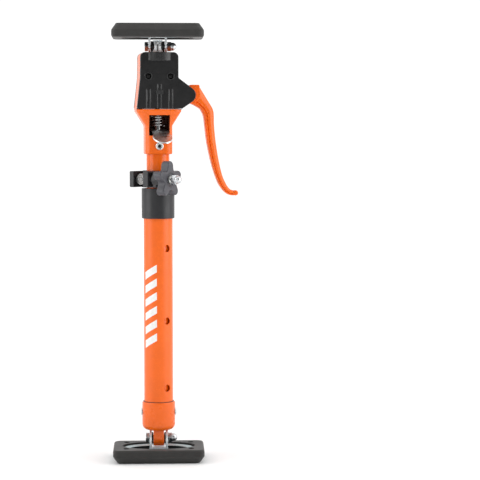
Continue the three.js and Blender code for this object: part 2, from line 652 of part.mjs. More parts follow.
// The lever, its hub and the finger that reaches in under the drive plate.
function handleBody() {
  const { x, z, hubR, half } = HANDLE;
  const blade = slab(handleOutline(), -half, half, 0, 3);
  const hub = alongY(rod(hubR, -COVER.inner + GAP, COVER.inner - GAP, 24)).translate([x, 0, z]);
  const finger = slab(polygon([[8.4, 400.2], [8.4, 403.4], [10.5, 404.1], [13, 403.6], [31, 408], [31, 398], [22, 396.4]]), -5, 5);
  const pin = alongY(rod(3.2, -20, 20, 16)).translate([x, 0, z]);
  return blade.add(hub).add(finger).subtract(pin);
}

add('handle', handleBody(), ORANGE, inHead());
add('handle_pin', alongY(rod(3, -15.1, 15.1, 16)).translate([HANDLE.x, 0, HANDLE.z]), ZINC, inHead(STEEL));

pole.add(head);
root.add(pole);
export default root;
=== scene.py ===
"""Looks of the telescopic support pole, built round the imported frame.

Lengths are millimetres until a mesh is stored. The head's pieces are drawn facing the front and
turned with the head; the clamp's pieces are drawn with local +X along the bolt.
"""

import json
import math

import bmesh
import bpy
from mathutils import Matrix, Vector

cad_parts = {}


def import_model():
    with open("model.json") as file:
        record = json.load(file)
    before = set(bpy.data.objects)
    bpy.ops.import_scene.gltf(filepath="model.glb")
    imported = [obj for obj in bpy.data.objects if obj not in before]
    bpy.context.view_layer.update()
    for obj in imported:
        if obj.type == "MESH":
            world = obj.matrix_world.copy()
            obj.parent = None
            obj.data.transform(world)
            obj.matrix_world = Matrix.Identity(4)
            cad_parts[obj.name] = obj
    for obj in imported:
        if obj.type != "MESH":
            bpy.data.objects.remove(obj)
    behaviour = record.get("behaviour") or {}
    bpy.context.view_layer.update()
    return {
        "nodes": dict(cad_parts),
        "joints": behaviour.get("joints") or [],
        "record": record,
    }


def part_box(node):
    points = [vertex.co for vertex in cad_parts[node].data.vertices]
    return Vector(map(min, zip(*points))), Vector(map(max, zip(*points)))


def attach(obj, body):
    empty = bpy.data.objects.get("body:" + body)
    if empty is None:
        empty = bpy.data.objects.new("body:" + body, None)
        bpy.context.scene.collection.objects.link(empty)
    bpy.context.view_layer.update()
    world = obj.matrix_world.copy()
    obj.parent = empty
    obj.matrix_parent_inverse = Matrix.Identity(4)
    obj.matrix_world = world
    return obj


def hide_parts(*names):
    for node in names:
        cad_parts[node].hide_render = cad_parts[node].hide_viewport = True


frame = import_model()

MM = 0.001
NODES = frame["nodes"]
BODY_OF = {node: body for body, group in frame["record"]["behaviour"]["bodies"].items() for node in group}
SLOT_OF = {row["node"]: row["material_slot"] for row in frame["record"]["subparts"]}
JOINTS = {joint["name"]: joint for joint in frame["joints"]}


# ---------------------------------------------------------------- places, from the frame
def corners(node):
    """Lowest and highest corner of a CAD node, in millimetres."""
    low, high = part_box(node)
    return low / MM, high / MM


def joint_point(name):
    return Vector(JOINTS[name]["pos_m"]) / MM


handle_axis = JOINTS["handle_squeeze"]["axis"]
clamp_axis = JOINTS["knob_turn"]["axis"]
HEAD_TURN = math.atan2(-handle_axis[0], handle_axis[1])
CLAMP_TURN = math.atan2(clamp_axis[1], clamp_axis[0])
TO_HEAD = Matrix.Rotation(HEAD_TURN, 4, "Z")
TO_CLAMP = Matrix.Rotation(CLAMP_TURN, 4, "Z")

LIFT = 2  # heights in the tubes and the head are measured from this far above the ground
HEIGHT = corners("top_pad")[1].z
PAD_HALF_X = corners("foot_pad")[1].x
PAD_HALF_Y = corners("foot_pad")[1].y
PAD_THICK = corners("foot_pad")[1].z
PIVOT = joint_point("foot_tilt").z  # over the contact face, at both ends
OUTER_R = corners("outer_tube")[1].x
INNER_R = corners("inner_tube")[1].x
COLLAR_LOW = corners("clamp_collar")[0].z - LIFT
COLLAR_TOP = corners("clamp_collar")[1].z - LIFT
CLAMP_Z = joint_point("knob_turn").z - LIFT
CLAMP_OUT = Vector(joint_point("knob_turn").xy).length
NECK_LOW = corners("head_housing")[0].z - LIFT
BODY_TOP = corners("head_housing")[1].z - LIFT
HANDLE_X = Vector(joint_point("handle_squeeze").xy).length
HANDLE_Z = joint_point("handle_squeeze").z - LIFT
NECK_RIVET_Z = 348

GAP = 0.3
M6_R = 3
M6_ACROSS = 10
BORE_R = 3.3  # clearance hole for the M6 bolts
TURN_STEPS = 96


# ---------------------------------------------------------------- mesh tools
def store(name, bm, smooth=True):
    """A scene object from a bmesh in millimetres."""
    bmesh.ops.remove_doubles(bm, verts=bm.verts, dist=1e-4)
    bmesh.ops.recalc_face_normals(bm, faces=bm.faces)
    mesh = bpy.data.meshes.new(name)
    bm.to_mesh(mesh)
    bm.free()
    mesh.transform(Matrix.Scale(MM, 4))
    mesh.polygons.foreach_set("use_smooth", [smooth] * len(mesh.polygons))
    made = bpy.data.objects.new(name, mesh)
    bpy.context.scene.collection.objects.link(made)
    return made


def skin(name, rings, closed=False):
    """A skin over rings of equal count. Its ends are capped, or joined if closed."""
    bm = bmesh.new()
    rows = [[bm.verts.new(point) for point in ring] for ring in rings]
    count = len(rows[0])
    pairs = list(zip(rows, rows[1:]))
    if closed:
        pairs.append((rows[-1], rows[0]))
    for low, high in pairs:
        for i in range(count):
            j = (i + 1) % count
            bm.faces.new((low[i], low[j], high[j], high[i]))
    if not closed:
        bm.faces.new(rows[0][::-1])
        bm.faces.new(rows[-1])
    return store(name, bm)


def turned(name, profile, steps=TURN_STEPS):
    """A piece turned about Z from (radius, z) pairs. One that never meets the axis closes on itself."""
    on_axis = profile[0][0] < 1e-6
    inner = [(r, z) for r, z in profile if r > 1e-6]
    bm = bmesh.new()
    rows = []
    for r, z in inner:
        angles = [2 * math.pi * i / steps for i in range(steps)]
        rows.append([bm.verts.new((r * math.cos(a), r * math.sin(a), z)) for a in angles])
    pairs = list(zip(rows, rows[1:]))
    if not on_axis:
        pairs.append((rows[-1], rows[0]))
    for low, high in pairs:
        for i in range(steps):
            j = (i + 1) % steps
            bm.faces.new((low[i], low[j], high[j], high[i]))
    if on_axis:
        bm.faces.new(rows[0][::-1])
        bm.faces.new(rows[-1])
    return store(name, bm)


def drum(name, r, z0, z1, steps=48):
    return turned(name, [(0, z0), (r, z0), (r, z1), (0, z1)], steps)


def slab(name, outline, y0, y1):
    """An outline in X and Z, as thick as y0 to y1."""
    return skin(name, [[(x, y, z) for x, z in outline] for y in (y0, y1)])


def side_slab(name, outline, x0, x1):
    """An outline in Y and Z, as wide as x0 to x1."""
    return skin(name, [[(x, y, z) for y, z in outline] for x in (x0, x1)])


def block(name, x0, x1, y0, y1, z0, z1):
    return slab(name, [(x0, z0), (x1, z0), (x1, z1), (x0, z1)], y0, y1)


def arc(cx, cz, r, start, end, steps=10):
    """Points on an arc, in degrees."""
    turn = [math.radians(start + (end - start) * i / steps) for i in range(steps + 1)]
    return [(cx + r * math.cos(a), cz + r * math.sin(a)) for a in turn]


def rounded_ring(half_x, half_y, corner, z, steps=10):
    ring = []
    for quarter in range(4):
        sign_x = 1 if quarter in (0, 3) else -1
        sign_y = 1 if quarter < 2 else -1
        centre = (sign_x * (half_x - corner), sign_y * (half_y - corner))
        ring += arc(*centre, corner, quarter * 90, quarter * 90 + 90, steps)
    return [(x, y, z) for x, y in ring]


def through(points, steps=8):
    """A smooth line through given points."""
    line = []
    ends = [points[0]] + list(points) + [points[-1]]
    for a, b, c, d in zip(ends, ends[1:], ends[2:], ends[3:]):
        a, b, c, d = Vector(a), Vector(b), Vector(c), Vector(d)
        for i in range(steps):
            t = i / steps
            line.append(0.5 * (2 * b + (c - a) * t + (2 * a - 5 * b + 4 * c - d) * t**2
                               + (3 * b - a - 3 * c + d) * t**3))
    return line + [Vector(points[-1])]


def sweep(name, path, radius, sides=14):
    """A round wire along a line of points."""
    rings = []
    across = Vector((0, 0, 1))
    for i, point in enumerate(path):
        ahead = (path[min(i + 1, len(path) - 1)] - path[max(i - 1, 0)]).normalized()
        u = across.cross(ahead).normalized()
        v = ahead.cross(u)
        turn = [2 * math.pi * k / sides for k in range(sides)]
        rings.append([point + radius * (u * math.cos(a) + v * math.sin(a)) for a in turn])
    return skin(name, rings)


def move(piece, matrix):
    """Moves a piece's mesh; the matrix's shift is in millimetres."""
    shifted = matrix.copy()
    shifted.translation = matrix.translation * MM
    piece.data.transform(shifted)
    if matrix.determinant() < 0:
        piece.data.flip_normals()
    return piece


def shift(piece, x=0, y=0, z=0):
    return move(piece, Matrix.Translation((x, y, z)))


HALF_TURN = Matrix.Rotation(math.pi, 4, "Z")


def forwards(piece):
    """Turns a piece drawn up Z to point at the front."""
    return move(piece, Matrix.Rotation(math.pi / 2, 4, "X"))


def along_x(piece):
    return move(piece, Matrix.Rotation(math.pi / 2, 4, "Y"))


def along_y(piece):
    return move(piece, Matrix.Rotation(-math.pi / 2, 4, "X"))


def bake(piece):
    """Applies a piece's modifiers to its mesh."""
    bpy.context.view_layer.update()
    shown = piece.evaluated_get(bpy.context.evaluated_depsgraph_get())
    mesh = bpy.data.meshes.new_from_object(shown)
    piece.modifiers.clear()
    piece.data = mesh
    return piece


def combine(piece, operation, *tools):
    for tool in tools:
        modifier = piece.modifiers.new("combine", "BOOLEAN")
        modifier.operation = operation
        modifier.solver = "EXACT"
        modifier.object = tool
        bake(piece)
        bpy.data.objects.remove(tool)
    return piece


def cut(piece, *tools):
    return combine(piece, "DIFFERENCE", *tools)


def join(piece, *tools):
    return combine(piece, "UNION", *tools)


def common(piece, *tools):
    return combine(piece, "INTERSECT", *tools)


def soften(piece, width, segments=3, angle=32):
    """Rounds a piece's edges by width."""
    modifier = piece.modifiers.new("soften", "BEVEL")
    modifier.width = width * MM
    modifier.segments = segments
    modifier.limit_method = "ANGLE"
    modifier.angle_limit = math.radians(angle)
    modifier.use_clamp_overlap = True
    return bake(piece)


def crisp(piece, angle=34):
    """Smooth shading that keeps edges sharper than the angle, and leaves large faces flat."""
    piece.data.polygons.foreach_set("use_smooth", [True] * len(piece.data.polygons))
    piece.data.set_sharp_from_angle(angle=math.radians(angle))
    weighted = piece.modifiers.new("weighted", "WEIGHTED_NORMAL")
    weighted.keep_sharp = True
    bake(piece)
    return piece


def finish(piece, node, angle=34, lift=LIFT, material=None):
    """A finished piece stands for its CAD node and rides on the node's body."""
    shift(piece, 0, 0, lift)
    piece.name = f"{node}.look"
    piece.data.name = piece.name
    crisp(piece, angle)
    piece.data.materials.clear()
    piece.data.materials.append(material or MATERIALS[SLOT_OF[node]])
    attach(piece, BODY_OF[node])
    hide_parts(node)
    return piece


def extra(piece, name, beside, material, lift=0):
    """A detail without a CAD node of its own, on the same body as the node beside it."""
    shift(piece, 0, 0, lift)
    piece.name = name
    piece.data.name = name
    crisp(piece)
    piece.data.materials.clear()
    piece.data.materials.append(material)
    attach(piece, BODY_OF[beside])
    return piece


# ---------------------------------------------------------------- materials
class Look:
    """A material's node tree, with the few nodes that all of them share."""

    def __init__(self, name):
        self.material = bpy.data.materials.new(name)
        self.material.use_nodes = True
        self.tree = self.material.node_tree
        self.shader = self.tree.nodes["Principled BSDF"]
        self.coords = self.add("ShaderNodeTexCoord").outputs["Object"]
        self.height = None

    def add(self, kind, **values):
        node = self.tree.nodes.new(kind)
        for key, value in values.items():
            if hasattr(node, key):
                setattr(node, key, value)
            else:
                node.inputs[key].default_value = value
        return node

    def link(self, source, target):
        self.tree.links.new(source, target)

    def feed(self, socket, source):
        """Drives one of the shader's inputs."""
        self.link(source, self.shader.inputs[socket])

    def stretched(self, scale):
        mapping = self.add("ShaderNodeMapping")
        mapping.inputs["Scale"].default_value = scale
        self.link(self.coords, mapping.inputs["Vector"])
        return mapping.outputs["Vector"]

    def noise(self, scale, detail=3.0, rough=0.55, vector=None):
        node = self.add("ShaderNodeTexNoise")
        node.inputs["Scale"].default_value = scale
        node.inputs["Detail"].default_value = detail
        node.inputs["Roughness"].default_value = rough
        self.link(vector or self.coords, node.inputs["Vector"])
        return node.outputs["Fac"]

    def spread(self, value, low, high, start=0.3, end=0.7):
        node = self.add("ShaderNodeMapRange")
        node.inputs["From Min"].default_value = start
        node.inputs["From Max"].default_value = end
        node.inputs["To Min"].default_value = low
        node.inputs["To Max"].default_value = high
        self.link(value, node.inputs["Value"])
        return node.outputs["Result"]

    def colour(self, value, *stops):
        """Colour along a value: stops are (position, colour)."""
        ramp = self.add("ShaderNodeValToRGB")
        while len(ramp.color_ramp.elements) < len(stops):
            ramp.color_ramp.elements.new(0.5)
        for element, (position, rgb) in zip(ramp.color_ramp.elements, stops):
            element.position = position
            element.color = (*rgb, 1)
        self.link(value, ramp.inputs["Fac"])
        return ramp.outputs["Color"]

    def mixed(self, a, b, share):
        node = self.add("ShaderNodeMix", data_type="RGBA")
        for socket, value in ((node.inputs[6], a), (node.inputs[7], b)):
            if isinstance(value, tuple):
                socket.default_value = (*value, 1)
            else:
                self.link(value, socket)
        self.link(share, node.inputs[0])
        return node.outputs[2]

    def bump(self, value, distance, strength=1.0):
        """Adds a layer of relief; distance is its height in millimetres."""
        node = self.add("ShaderNodeBump")
        node.inputs["Strength"].default_value = strength
        node.inputs["Distance"].default_value = distance * MM
        self.link(value, node.inputs["Height"])
        if self.height:
            self.link(self.height, node.inputs["Normal"])
        self.height = node.outputs["Normal"]
        self.link(self.height, self.shader.inputs["Normal"])

    def worn_edges(self, amount=0.08):
        """A mask that is 1 on outer edges."""
        geometry = self.add("ShaderNodeNewGeometry")
        return self.spread(geometry.outputs["Pointiness"], 0, 1, 0.5 + amount * 0.5, 0.5 + amount)

    def set(self, **values):
        for key, value in values.items():
            self.shader.inputs[key.replace("_", " ")].default_value = value


def shade(rgb, factor):
    return tuple(min(1.0, channel * factor) for channel in rgb)


def painted(name, rgb, grain, relief, rough):
    """Powder coat: even colour, slight orange peel, edges a little lighter."""
    look = Look(name)
    cloud = look.noise(35, 4)
    body = look.colour(cloud, (0.35, shade(rgb, 0.94)), (0.65, shade(rgb, 1.04)))
    edge = look.worn_edges(0.06)
    speck = look.spread(look.noise(420, 5, 0.7), 0, 0.5, 0.52, 0.7)
    both = look.add("ShaderNodeMath", operation="MULTIPLY")
    look.link(edge, both.inputs[0])
    look.link(speck, both.inputs[1])
    look.feed("Base Color", look.mixed(body, shade(rgb, 1.25), both.outputs[0]))
    look.feed("Roughness", look.spread(look.noise(90, 3), rough - 0.04, rough + 0.06))
    look.set(IOR=1.42, Coat_Weight=0.08, Coat_Roughness=0.2)
    look.bump(look.noise(grain, 2, 0.5), relief)
    return look.material


def moulded(name, rgb, rough, grain=1700, relief=0.02):
    """Moulded plastic with a spark-eroded grain."""
    look = Look(name)
    cloud = look.noise(60, 4)
    base = look.colour(cloud, (0.3, shade(rgb, 0.88)), (0.7, shade(rgb, 1.12)))
    look.feed("Base Color", base)
    look.feed("Roughness", look.spread(look.noise(140, 4), rough - 0.05, rough + 0.07))
    look.set(IOR=1.47)
    look.bump(look.noise(grain, 2, 0.6), relief)
    return look.material


def rubber(name, rgb):
    """Matt rubber with the fine level lines of its mould."""
    look = Look(name)
    dust = look.noise(70, 6, 0.65)
    base = look.colour(dust, (0.3, shade(rgb, 0.8)), (0.72, shade(rgb, 1.3)))
    look.feed("Base Color", base)
    lines = look.noise(1.0, 3, 0.7, look.stretched((24, 24, 1300)))
    look.feed("Roughness", look.spread(lines, 0.55, 0.75))
    look.set(IOR=1.45, Sheen_Weight=0.12, Sheen_Roughness=0.5)
    look.bump(lines, 0.12)
    look.bump(look.noise(900, 3, 0.6), 0.03)
    return look.material


def plated(name, rgb, tint, rough, brush=(60, 60, 900)):
    """Zinc or nickel plate: metal with faint clouds of tint and fine drawn lines."""
    look = Look(name)
    cloud = look.noise(85, 4, 0.6)
    look.feed("Base Color", look.colour(cloud, (0.34, rgb), (0.66, tint)))
    lines = look.noise(1.0, 4, 0.6, look.stretched(brush))
    look.feed("Roughness", look.spread(lines, rough - 0.06, rough + 0.1))
    look.set(Metallic=1.0)
    look.bump(lines, 0.012)
    return look.material


def adjusted(material, **values):
    """Changes a finished material's plain shader values."""
    shader = material.node_tree.nodes["Principled BSDF"]
    for key, value in values.items():
        shader.inputs[key.replace("_", " ")].default_value = value
    return material


ORANGE = (0.88, 0.135, 0.004)
MATERIALS = {
    "pad_rubber": rubber("pad_rubber", (0.022, 0.021, 0.0195)),
    "zinc": plated("zinc", (0.66, 0.71, 0.74), (0.76, 0.77, 0.74), 0.3),
    "orange_paint": painted("orange_paint", ORANGE, 700, 0.02, 0.33),
    "orange_cast": painted("orange_cast", ORANGE, 480, 0.04, 0.28),
    "black_plastic": moulded("black_plastic", (0.006, 0.006, 0.0063), 0.34),
    "grey_plastic": moulded("grey_plastic", (0.015, 0.015, 0.017), 0.36),
    "knob_plastic": moulded("knob_plastic", (0.068, 0.067, 0.078), 0.38),
    "chrome": plated("chrome", (0.66, 0.67, 0.68), (0.6, 0.62, 0.64), 0.3, (200, 200, 200)),
    "spring_steel": plated("spring_steel", (0.72, 0.72, 0.72), (0.6, 0.6, 0.61), 0.22),
    "black_steel": plated("black_steel", (0.03, 0.03, 0.032), (0.045, 0.044, 0.042), 0.4),
}
# dark rubber without sheen, laid on the dish floors: painted shade
SHADE_RUBBER = adjusted(rubber("shade_rubber", (0.007, 0.007, 0.007)), IOR=1.02, Sheen_Weight=0)
PLATE_ZINC = plated("plate_zinc", (0.36, 0.43, 0.45), (0.45, 0.50, 0.50), 0.34)
# lighter copy of the black plastic for the covers' proud faces: painted highlight
HIGHLIGHT_PLASTIC = moulded("highlight_plastic", (0.024, 0.024, 0.0245), 0.27)
BLACK_STEEL = MATERIALS["black_steel"]
DULL_STEEL = plated("dull_steel", (0.20, 0.20, 0.20), (0.27, 0.26, 0.25), 0.42)
# lighter copy of the zinc, partly white diffuse, for the brackets and the rod lug: painted reflection
LIT_ZINC = adjusted(plated("lit_zinc", (0.80, 0.90, 0.95), (0.93, 0.95, 0.95), 0.34), Metallic=0.55)
GLOSS_PAINT = painted("gloss_paint", ORANGE, 900, 0.01, 0.16)
# dark brown for the housing's cavities: painted shade
CAVITY_SHADE = painted("cavity_shade", (0.11, 0.026, 0.012), 480, 0.05, 0.55)
GROUND_STEEL = plated("ground_steel", (0.46, 0.47, 0.48), (0.56, 0.57, 0.58), 0.13, (300, 300, 40))
# dark red-brown for the ring at the socket's lip: painted shadow of the gap
GAP_SHADOW = rubber("gap_shadow", (0.09, 0.018, 0.006))
for node, cad in NODES.items():
    cad.data.materials.clear()
    cad.data.materials.append(MATERIALS[SLOT_OF[node]])


def white_print():
    look = Look("white_print")
    cloud = look.noise(500, 4)
    base = look.colour(cloud, (0.3, (0.8, 0.79, 0.78)), (0.6, (0.88, 0.88, 0.87)))
    look.feed("Base Color", base)
    look.set(Roughness=0.45)
    return look.material


# ---------------------------------------------------------------- fasteners
def hexagon(name, across, x0, x1, chamfer=0.6):
    """A hexagon along X, flats up and down, with its corners turned off at x1."""
    corner_r = across / math.sqrt(3)
    prism = turned(name, [(0, x0), (corner_r, x0), (corner_r, x1), (0, x1)], 6)
    prism = along_x(move(prism, Matrix.Rotation(math.pi / 6, 4, "Z")))
    limit = along_x(turned("limit", [(0, x0 - 1), (corner_r + 2, x0 - 1), (corner_r + 2, x1 - chamfer - 1),
                                     (across / 2 - 0.1, x1), (0, x1)], 64))
    return common(prism, limit)


def threaded_shank(name, r, x0, x1, thread_from, pitch=1.0, depth=0.45):
    """A bolt's shank along X, threaded from thread_from to its chamfered tip."""
    profile = [(0, x0), (r, x0)]
    for i in range(int((x1 - 0.7 - thread_from) / pitch)):
        profile += [(r, thread_from + i * pitch), (r - depth, thread_from + (i + 0.5) * pitch)]
    return along_x(turned(name, profile + [(r, x1 - 0.7), (r - 0.6, x1), (0, x1)], 40))


def acorn(name, x):
    """A cap nut from x along +X: chamfered hexagon, collar and polished dome."""
    nut = hexagon(name, M6_ACROSS, x, x + 4.6)
    dome = [(0, x + 2), (4.45, x + 2), (4.45, x + 5.8)] + [(r, x + 5.9 + z) for r, z in arc(0, 0, 4.4, 4, 84, 12)]
    join(nut, along_x(turned("dome", dome + [(0, x + 10.3)], 56)))
    cut(nut, along_x(drum("bore", 3.2, x - 1, x + 7)))
    return soften(nut, 0.12, 2)


# ---------------------------------------------------------------- pads and their brackets
PLATE_OVAL = Matrix.Diagonal((39.5, 21.5, 1, 1))
RECESS_OVAL = Matrix.Diagonal((40.3, 22.3, 1, 1))
SCREW_HOLE_X, SCREW_HOLE_Y = 36, 20
GROOVES = {"each_side": 4, "pitch": 5.6, "half": 0.8, "deep": 0.8}


def turn_over():
    return Matrix.Translation((0, 0, HEIGHT)) @ Matrix.Rotation(math.pi, 4, "X")


def pad(name):
    """Rubber block: sloping sides, four screw holes, an oval recess, and grooves in its contact face."""
    x, y, top = PAD_HALF_X, PAD_HALF_Y, PAD_THICK
    levels = [(5.6, 0), (5.0, 0.25), (4.6, 0.8), (4.1, 1.6), (2.0, 4.6), (0.4, 7.1), (0.1, 7.7), (0, 8.4), (0, 13.2),
              (0.25, 14), (0.8, top - 0.7), (1.3, top - 0.25), (2.2, top)]
    made = skin(name, [rounded_ring(x - inset, y - inset, 6.5 - 0.3 * inset, z) for inset, z in levels])
    oval = turned("oval", [(0, 10.1), (1, 10.1), (1, top - 0.6), (1.02, top + 1), (0, top + 1)], 128)
    cut(made, move(oval, RECESS_OVAL))
    hole = [(0, -1), (3.2, -1), (3.2, top - 0.3), (3.5, top + 0.05), (3.5, top + 1), (0, top + 1)]
    for hole_x in (-SCREW_HOLE_X, SCREW_HOLE_X):
        for hole_y in (-SCREW_HOLE_Y, SCREW_HOLE_Y):
            cut(made, shift(turned("bore", hole, 40), hole_x, hole_y))
    side, half, deep = GROOVES["each_side"], GROOVES["half"], GROOVES["deep"]
    for i in range(-side, side + 1):
        middle_y = i * GROOVES["pitch"]
        groove = [(-60, -1), (60, -1), (60, deep), (-60, deep)]
        cut(made, slab("groove", groove, middle_y - half, middle_y + half))
    return made


def dish(name):
    """Pressed oval plate with a bead round its edge."""
    profile = [(0, 10.4), (0.955, 10.4), (0.985, 10.8), (1, 11.6), (1, 12.6), (0.99, 13.2), (0.965, 13.7), (0.93, 13.8),
               (0.895, 13.55), (0.87, 12.9), (0.85, 12.3), (0.82, 12.03), (0.78, 12), (0, 12)]
    return move(turned(name, profile, 144), PLATE_OVAL)


def floor_shade_sheet(name):
    """A dark rubber sheet over the plate's floor, inside the bead: painted shade on the floor of the recess."""
    profile = [(0, 11.9), (0.82, 11.9), (0.82, 12.2), (0.8, 12.32), (0, 12.34)]
    made = move(turned(name, profile, 96), PLATE_OVAL)
    return cut(made, block("web", -10.4, 10.4, -8.6, 8.6, 11, 13))


def bracket(name, ear_r):
    """A strip bent to a U, its ears round about the pivot."""
    inner, plate, web_low, web_top = 7.9, 2.2, 12.3, 14.5
    outer = inner + plate
    top = PIVOT + ear_r + 1
    bend = 2.6
    outline = [(-outer, top)] + arc(-outer + bend, web_low + bend, bend, 180, 270, 8)
    outline += arc(outer - bend, web_low + bend, bend, 270, 360, 8) + [(outer, top), (inner, top)]
    outline += arc(inner - 1, web_top + 1, 1, 0, -90, 6) + arc(-inner + 1, web_top + 1, 1, 270, 180, 6)
    outline += [(-inner, top)]
    strip = slab(name, outline, -ear_r, ear_r)
    ears = [(-ear_r, web_low - 1), (ear_r, web_low - 1)] + arc(0, PIVOT, ear_r, 0, 180, 32)
    common(strip, side_slab("ears", ears, -outer - 1, outer + 1))
    cut(strip, along_x(shift(drum("bore", BORE_R, -20, 20), -PIVOT)))
    return soften(strip, 0.3, 2)


def pivot_bolt(name):
    face = 10.4
    head = move(hexagon(name, M6_ACROSS, face, face + 4), HALF_TURN)
    ring = along_x(turned("ring", [(0, -face - 4.2), (2.7, -face - 4.2), (3.3, -face - 3.9), (0, -face - 3.8)], 40))
    join(head, ring, threaded_shank("shank", M6_R, -face - 0.5, face + 5.6, face - 4))
    return shift(soften(head, 0.1, 2), 0, 0, PIVOT)


def spacer(name, side, inner):
    """Domed towards the tongue or the lug that it holds in the middle."""
    outer, r = 7.7, 6
    dome = (outer - inner) * 0.7
    profile = [(BORE_R, inner), (3.9, inner)] + [(3.9 + (r - 3.9) * math.sin(a), inner + dome * (1 - math.cos(a)))
                                                for a in (i * math.pi / 16 for i in range(1, 9))]
    profile += [(r, outer - 0.3), (r - 0.3, outer), (BORE_R, outer)]
    made = along_x(turned(name, profile, 56))
    if side == "left":
        move(made, HALF_TURN)
    return shift(made, 0, 0, PIVOT)


def make_end(end, ear_r, held):
    pieces = {
        f"{end}_pad": pad("pad"),
        f"{end}_plate": dish("dish"),
        f"{end}_bracket": bracket("bracket", ear_r),
        f"{end}_pivot_bolt": pivot_bolt("bolt"),
        f"{end}_cap_nut": shift(acorn("nut", 10.4), 0, 0, PIVOT),
        f"{end}_spacer_left": spacer("spacer", "left", held / 2 + 0.2),
        f"{end}_spacer_right": spacer("spacer", "right", held / 2 + 0.2),
    }
    # the brackets' lighter zinc is a painted reflection
    own_zinc = {f"{end}_bracket": LIT_ZINC, f"{end}_plate": PLATE_ZINC}
    for node, piece in pieces.items():
        if end == "top":
            move(piece, turn_over())
        finish(piece, node, lift=0, material=own_zinc.get(node))
    floor_shade = floor_shade_sheet("floor_shade_sheet")
    if end == "top":
        move(floor_shade, turn_over())
    # the dark sheet on each dish floor is painted shade
    extra(floor_shade, f"{end}_plate_floor_shade", f"{end}_pad", SHADE_RUBBER)


make_end("foot", 8, 11.7)
make_end("top", 6.2, 7.4)


# ---------------------------------------------------------------- foot socket
SOCKET_R, SOCKET_LOW, SOCKET_TOP = 18.25, 31.7, 63.7
SOCKET_PIVOT = PIVOT - LIFT
SOCKET_RIVET_Z = 52


def foot_socket():
    low, top, r = SOCKET_LOW, SOCKET_TOP, SOCKET_R
    profile = [(0, low), (11.5, low), (13.4, low + 0.35), (15.2, low + 1.1), (16.5, low + 2.1), (17.4, low + 3.3),
               (18, low + 4.8), (r, low + 6.6), (r, top - 1.9), (r - 0.15, top - 1.2), (r - 0.6, top - 0.5),
               (r - 1.1, top - 0.1), (r - 1.5, top), (0, top)]
    cup = turned("cup", profile)
    tongue_r = 9.4
    outline = [(tongue_r, low + 3), (-tongue_r, low + 3)] + arc(0, SOCKET_PIVOT, tongue_r, 180, 360, 32)
    join(cup, soften(side_slab("tongue", outline, -5.85, 5.85), 0.9, 4))
    cut(cup, drum("seat", OUTER_R + GAP, 37.7, top + 1, TURN_STEPS))
    cut(cup, along_x(shift(drum("bore", BORE_R, -20, 20), -SOCKET_PIVOT)))
    cut(cup, along_x(shift(drum("cross", 2.8, -30, 30), -SOCKET_RIVET_Z)))
    return soften(cup, 0.25, 2, 40)


def socket_rivet():
    face = 18.55
    half = [(2.5, 0), (2.5, face), (4.35, face), (4.35, face + 0.3), (4.1, face + 0.65), (3.4, face + 1.05),
            (2.2, face + 1.28), (0, face + 1.35)]
    profile = [(r, -z) for r, z in half[::-1]] + half[1:]
    profile = [(0, -face - 1.35)] + [(r, z) for r, z in profile if r > 0] + [(0, face + 1.35)]
    return shift(along_x(turned("rivet", profile, 48)), 0, 0, SOCKET_RIVET_Z)


def gap_shadow_ring():
    """A dark ring between the tube and the cup's lip: painted shadow of the gap between them."""
    inside, outside, low = OUTER_R + 0.02, 17.1, SOCKET_TOP - 0.8
    profile = [(inside, low), (outside, low), (outside, SOCKET_TOP + 0.2), (outside - 0.2, SOCKET_TOP + 0.45),
               (inside, SOCKET_TOP + 0.5)]
    return turned("seal", profile, 96)


finish(foot_socket(), "foot_socket")
# dark ring at the socket's lip: painted shadow of the gap round the tube
extra(gap_shadow_ring(), "foot_socket_gap_shadow", "foot_socket", GAP_SHADOW, LIFT)
finish(socket_rivet(), "socket_rivet")

# ---------------------------------------------------------------- tubes
HOLE_TURN = math.radians(38)
HOLE_HEIGHTS = (79.6, 154.6, 235.0)


def wall_drill(r, z, turn, start, end):
    drill = forwards(drum("drill", r, start, end, 40))
    return shift(move(drill, Matrix.Rotation(turn, 4, "Z")), 0, 0, z)


def tube(name, r, wall, low, high):
    lip = 0.35
    profile = [(r - wall, low + lip), (r - wall + lip, low), (r - lip, low), (r, low + lip), (r, high - lip),
               (r - lip, high), (r - wall + lip, high), (r - wall, high - lip)]
    return turned(name, profile, 128)


def outer_tube():
    low, high = corners("outer_tube")
    made = tube("outer", OUTER_R, 1.5, low.z - LIFT, high.z - LIFT)
    for z in HOLE_HEIGHTS:
        for side in (0, math.pi):
            cut(made, wall_drill(4, z, HOLE_TURN + side, 10, 20))
    cut(made, along_x(shift(drum("cross", 2.8, -30, 30), -SOCKET_RIVET_Z)))
    return made


def inner_tube():
    low, high = corners("inner_tube")
    made = tube("inner", INNER_R, 1.5, low.z - LIFT, high.z - LIFT)
    cut(made, wall_drill(4, HOLE_HEIGHTS[0], HOLE_TURN + math.pi, 8, 16))
    for side in (0, math.pi):
        cut(made, wall_drill(2.3, NECK_RIVET_Z, HEAD_TURN + side, 8, 16))
    return made


def snap_button():
    profile = [(0, 9.2), (5, 9.2), (5, 9.7), (3.7, 9.7), (3.7, 15.6), (3.6, 16.4), (3.2, 17.2), (2.5, 17.75),
               (1.4, 18.05), (0, 18.1)]
    made = forwards(turned("button", profile, 48))
    return shift(move(made, Matrix.Rotation(HOLE_TURN + math.pi, 4, "Z")), 0, 0, HOLE_HEIGHTS[0])


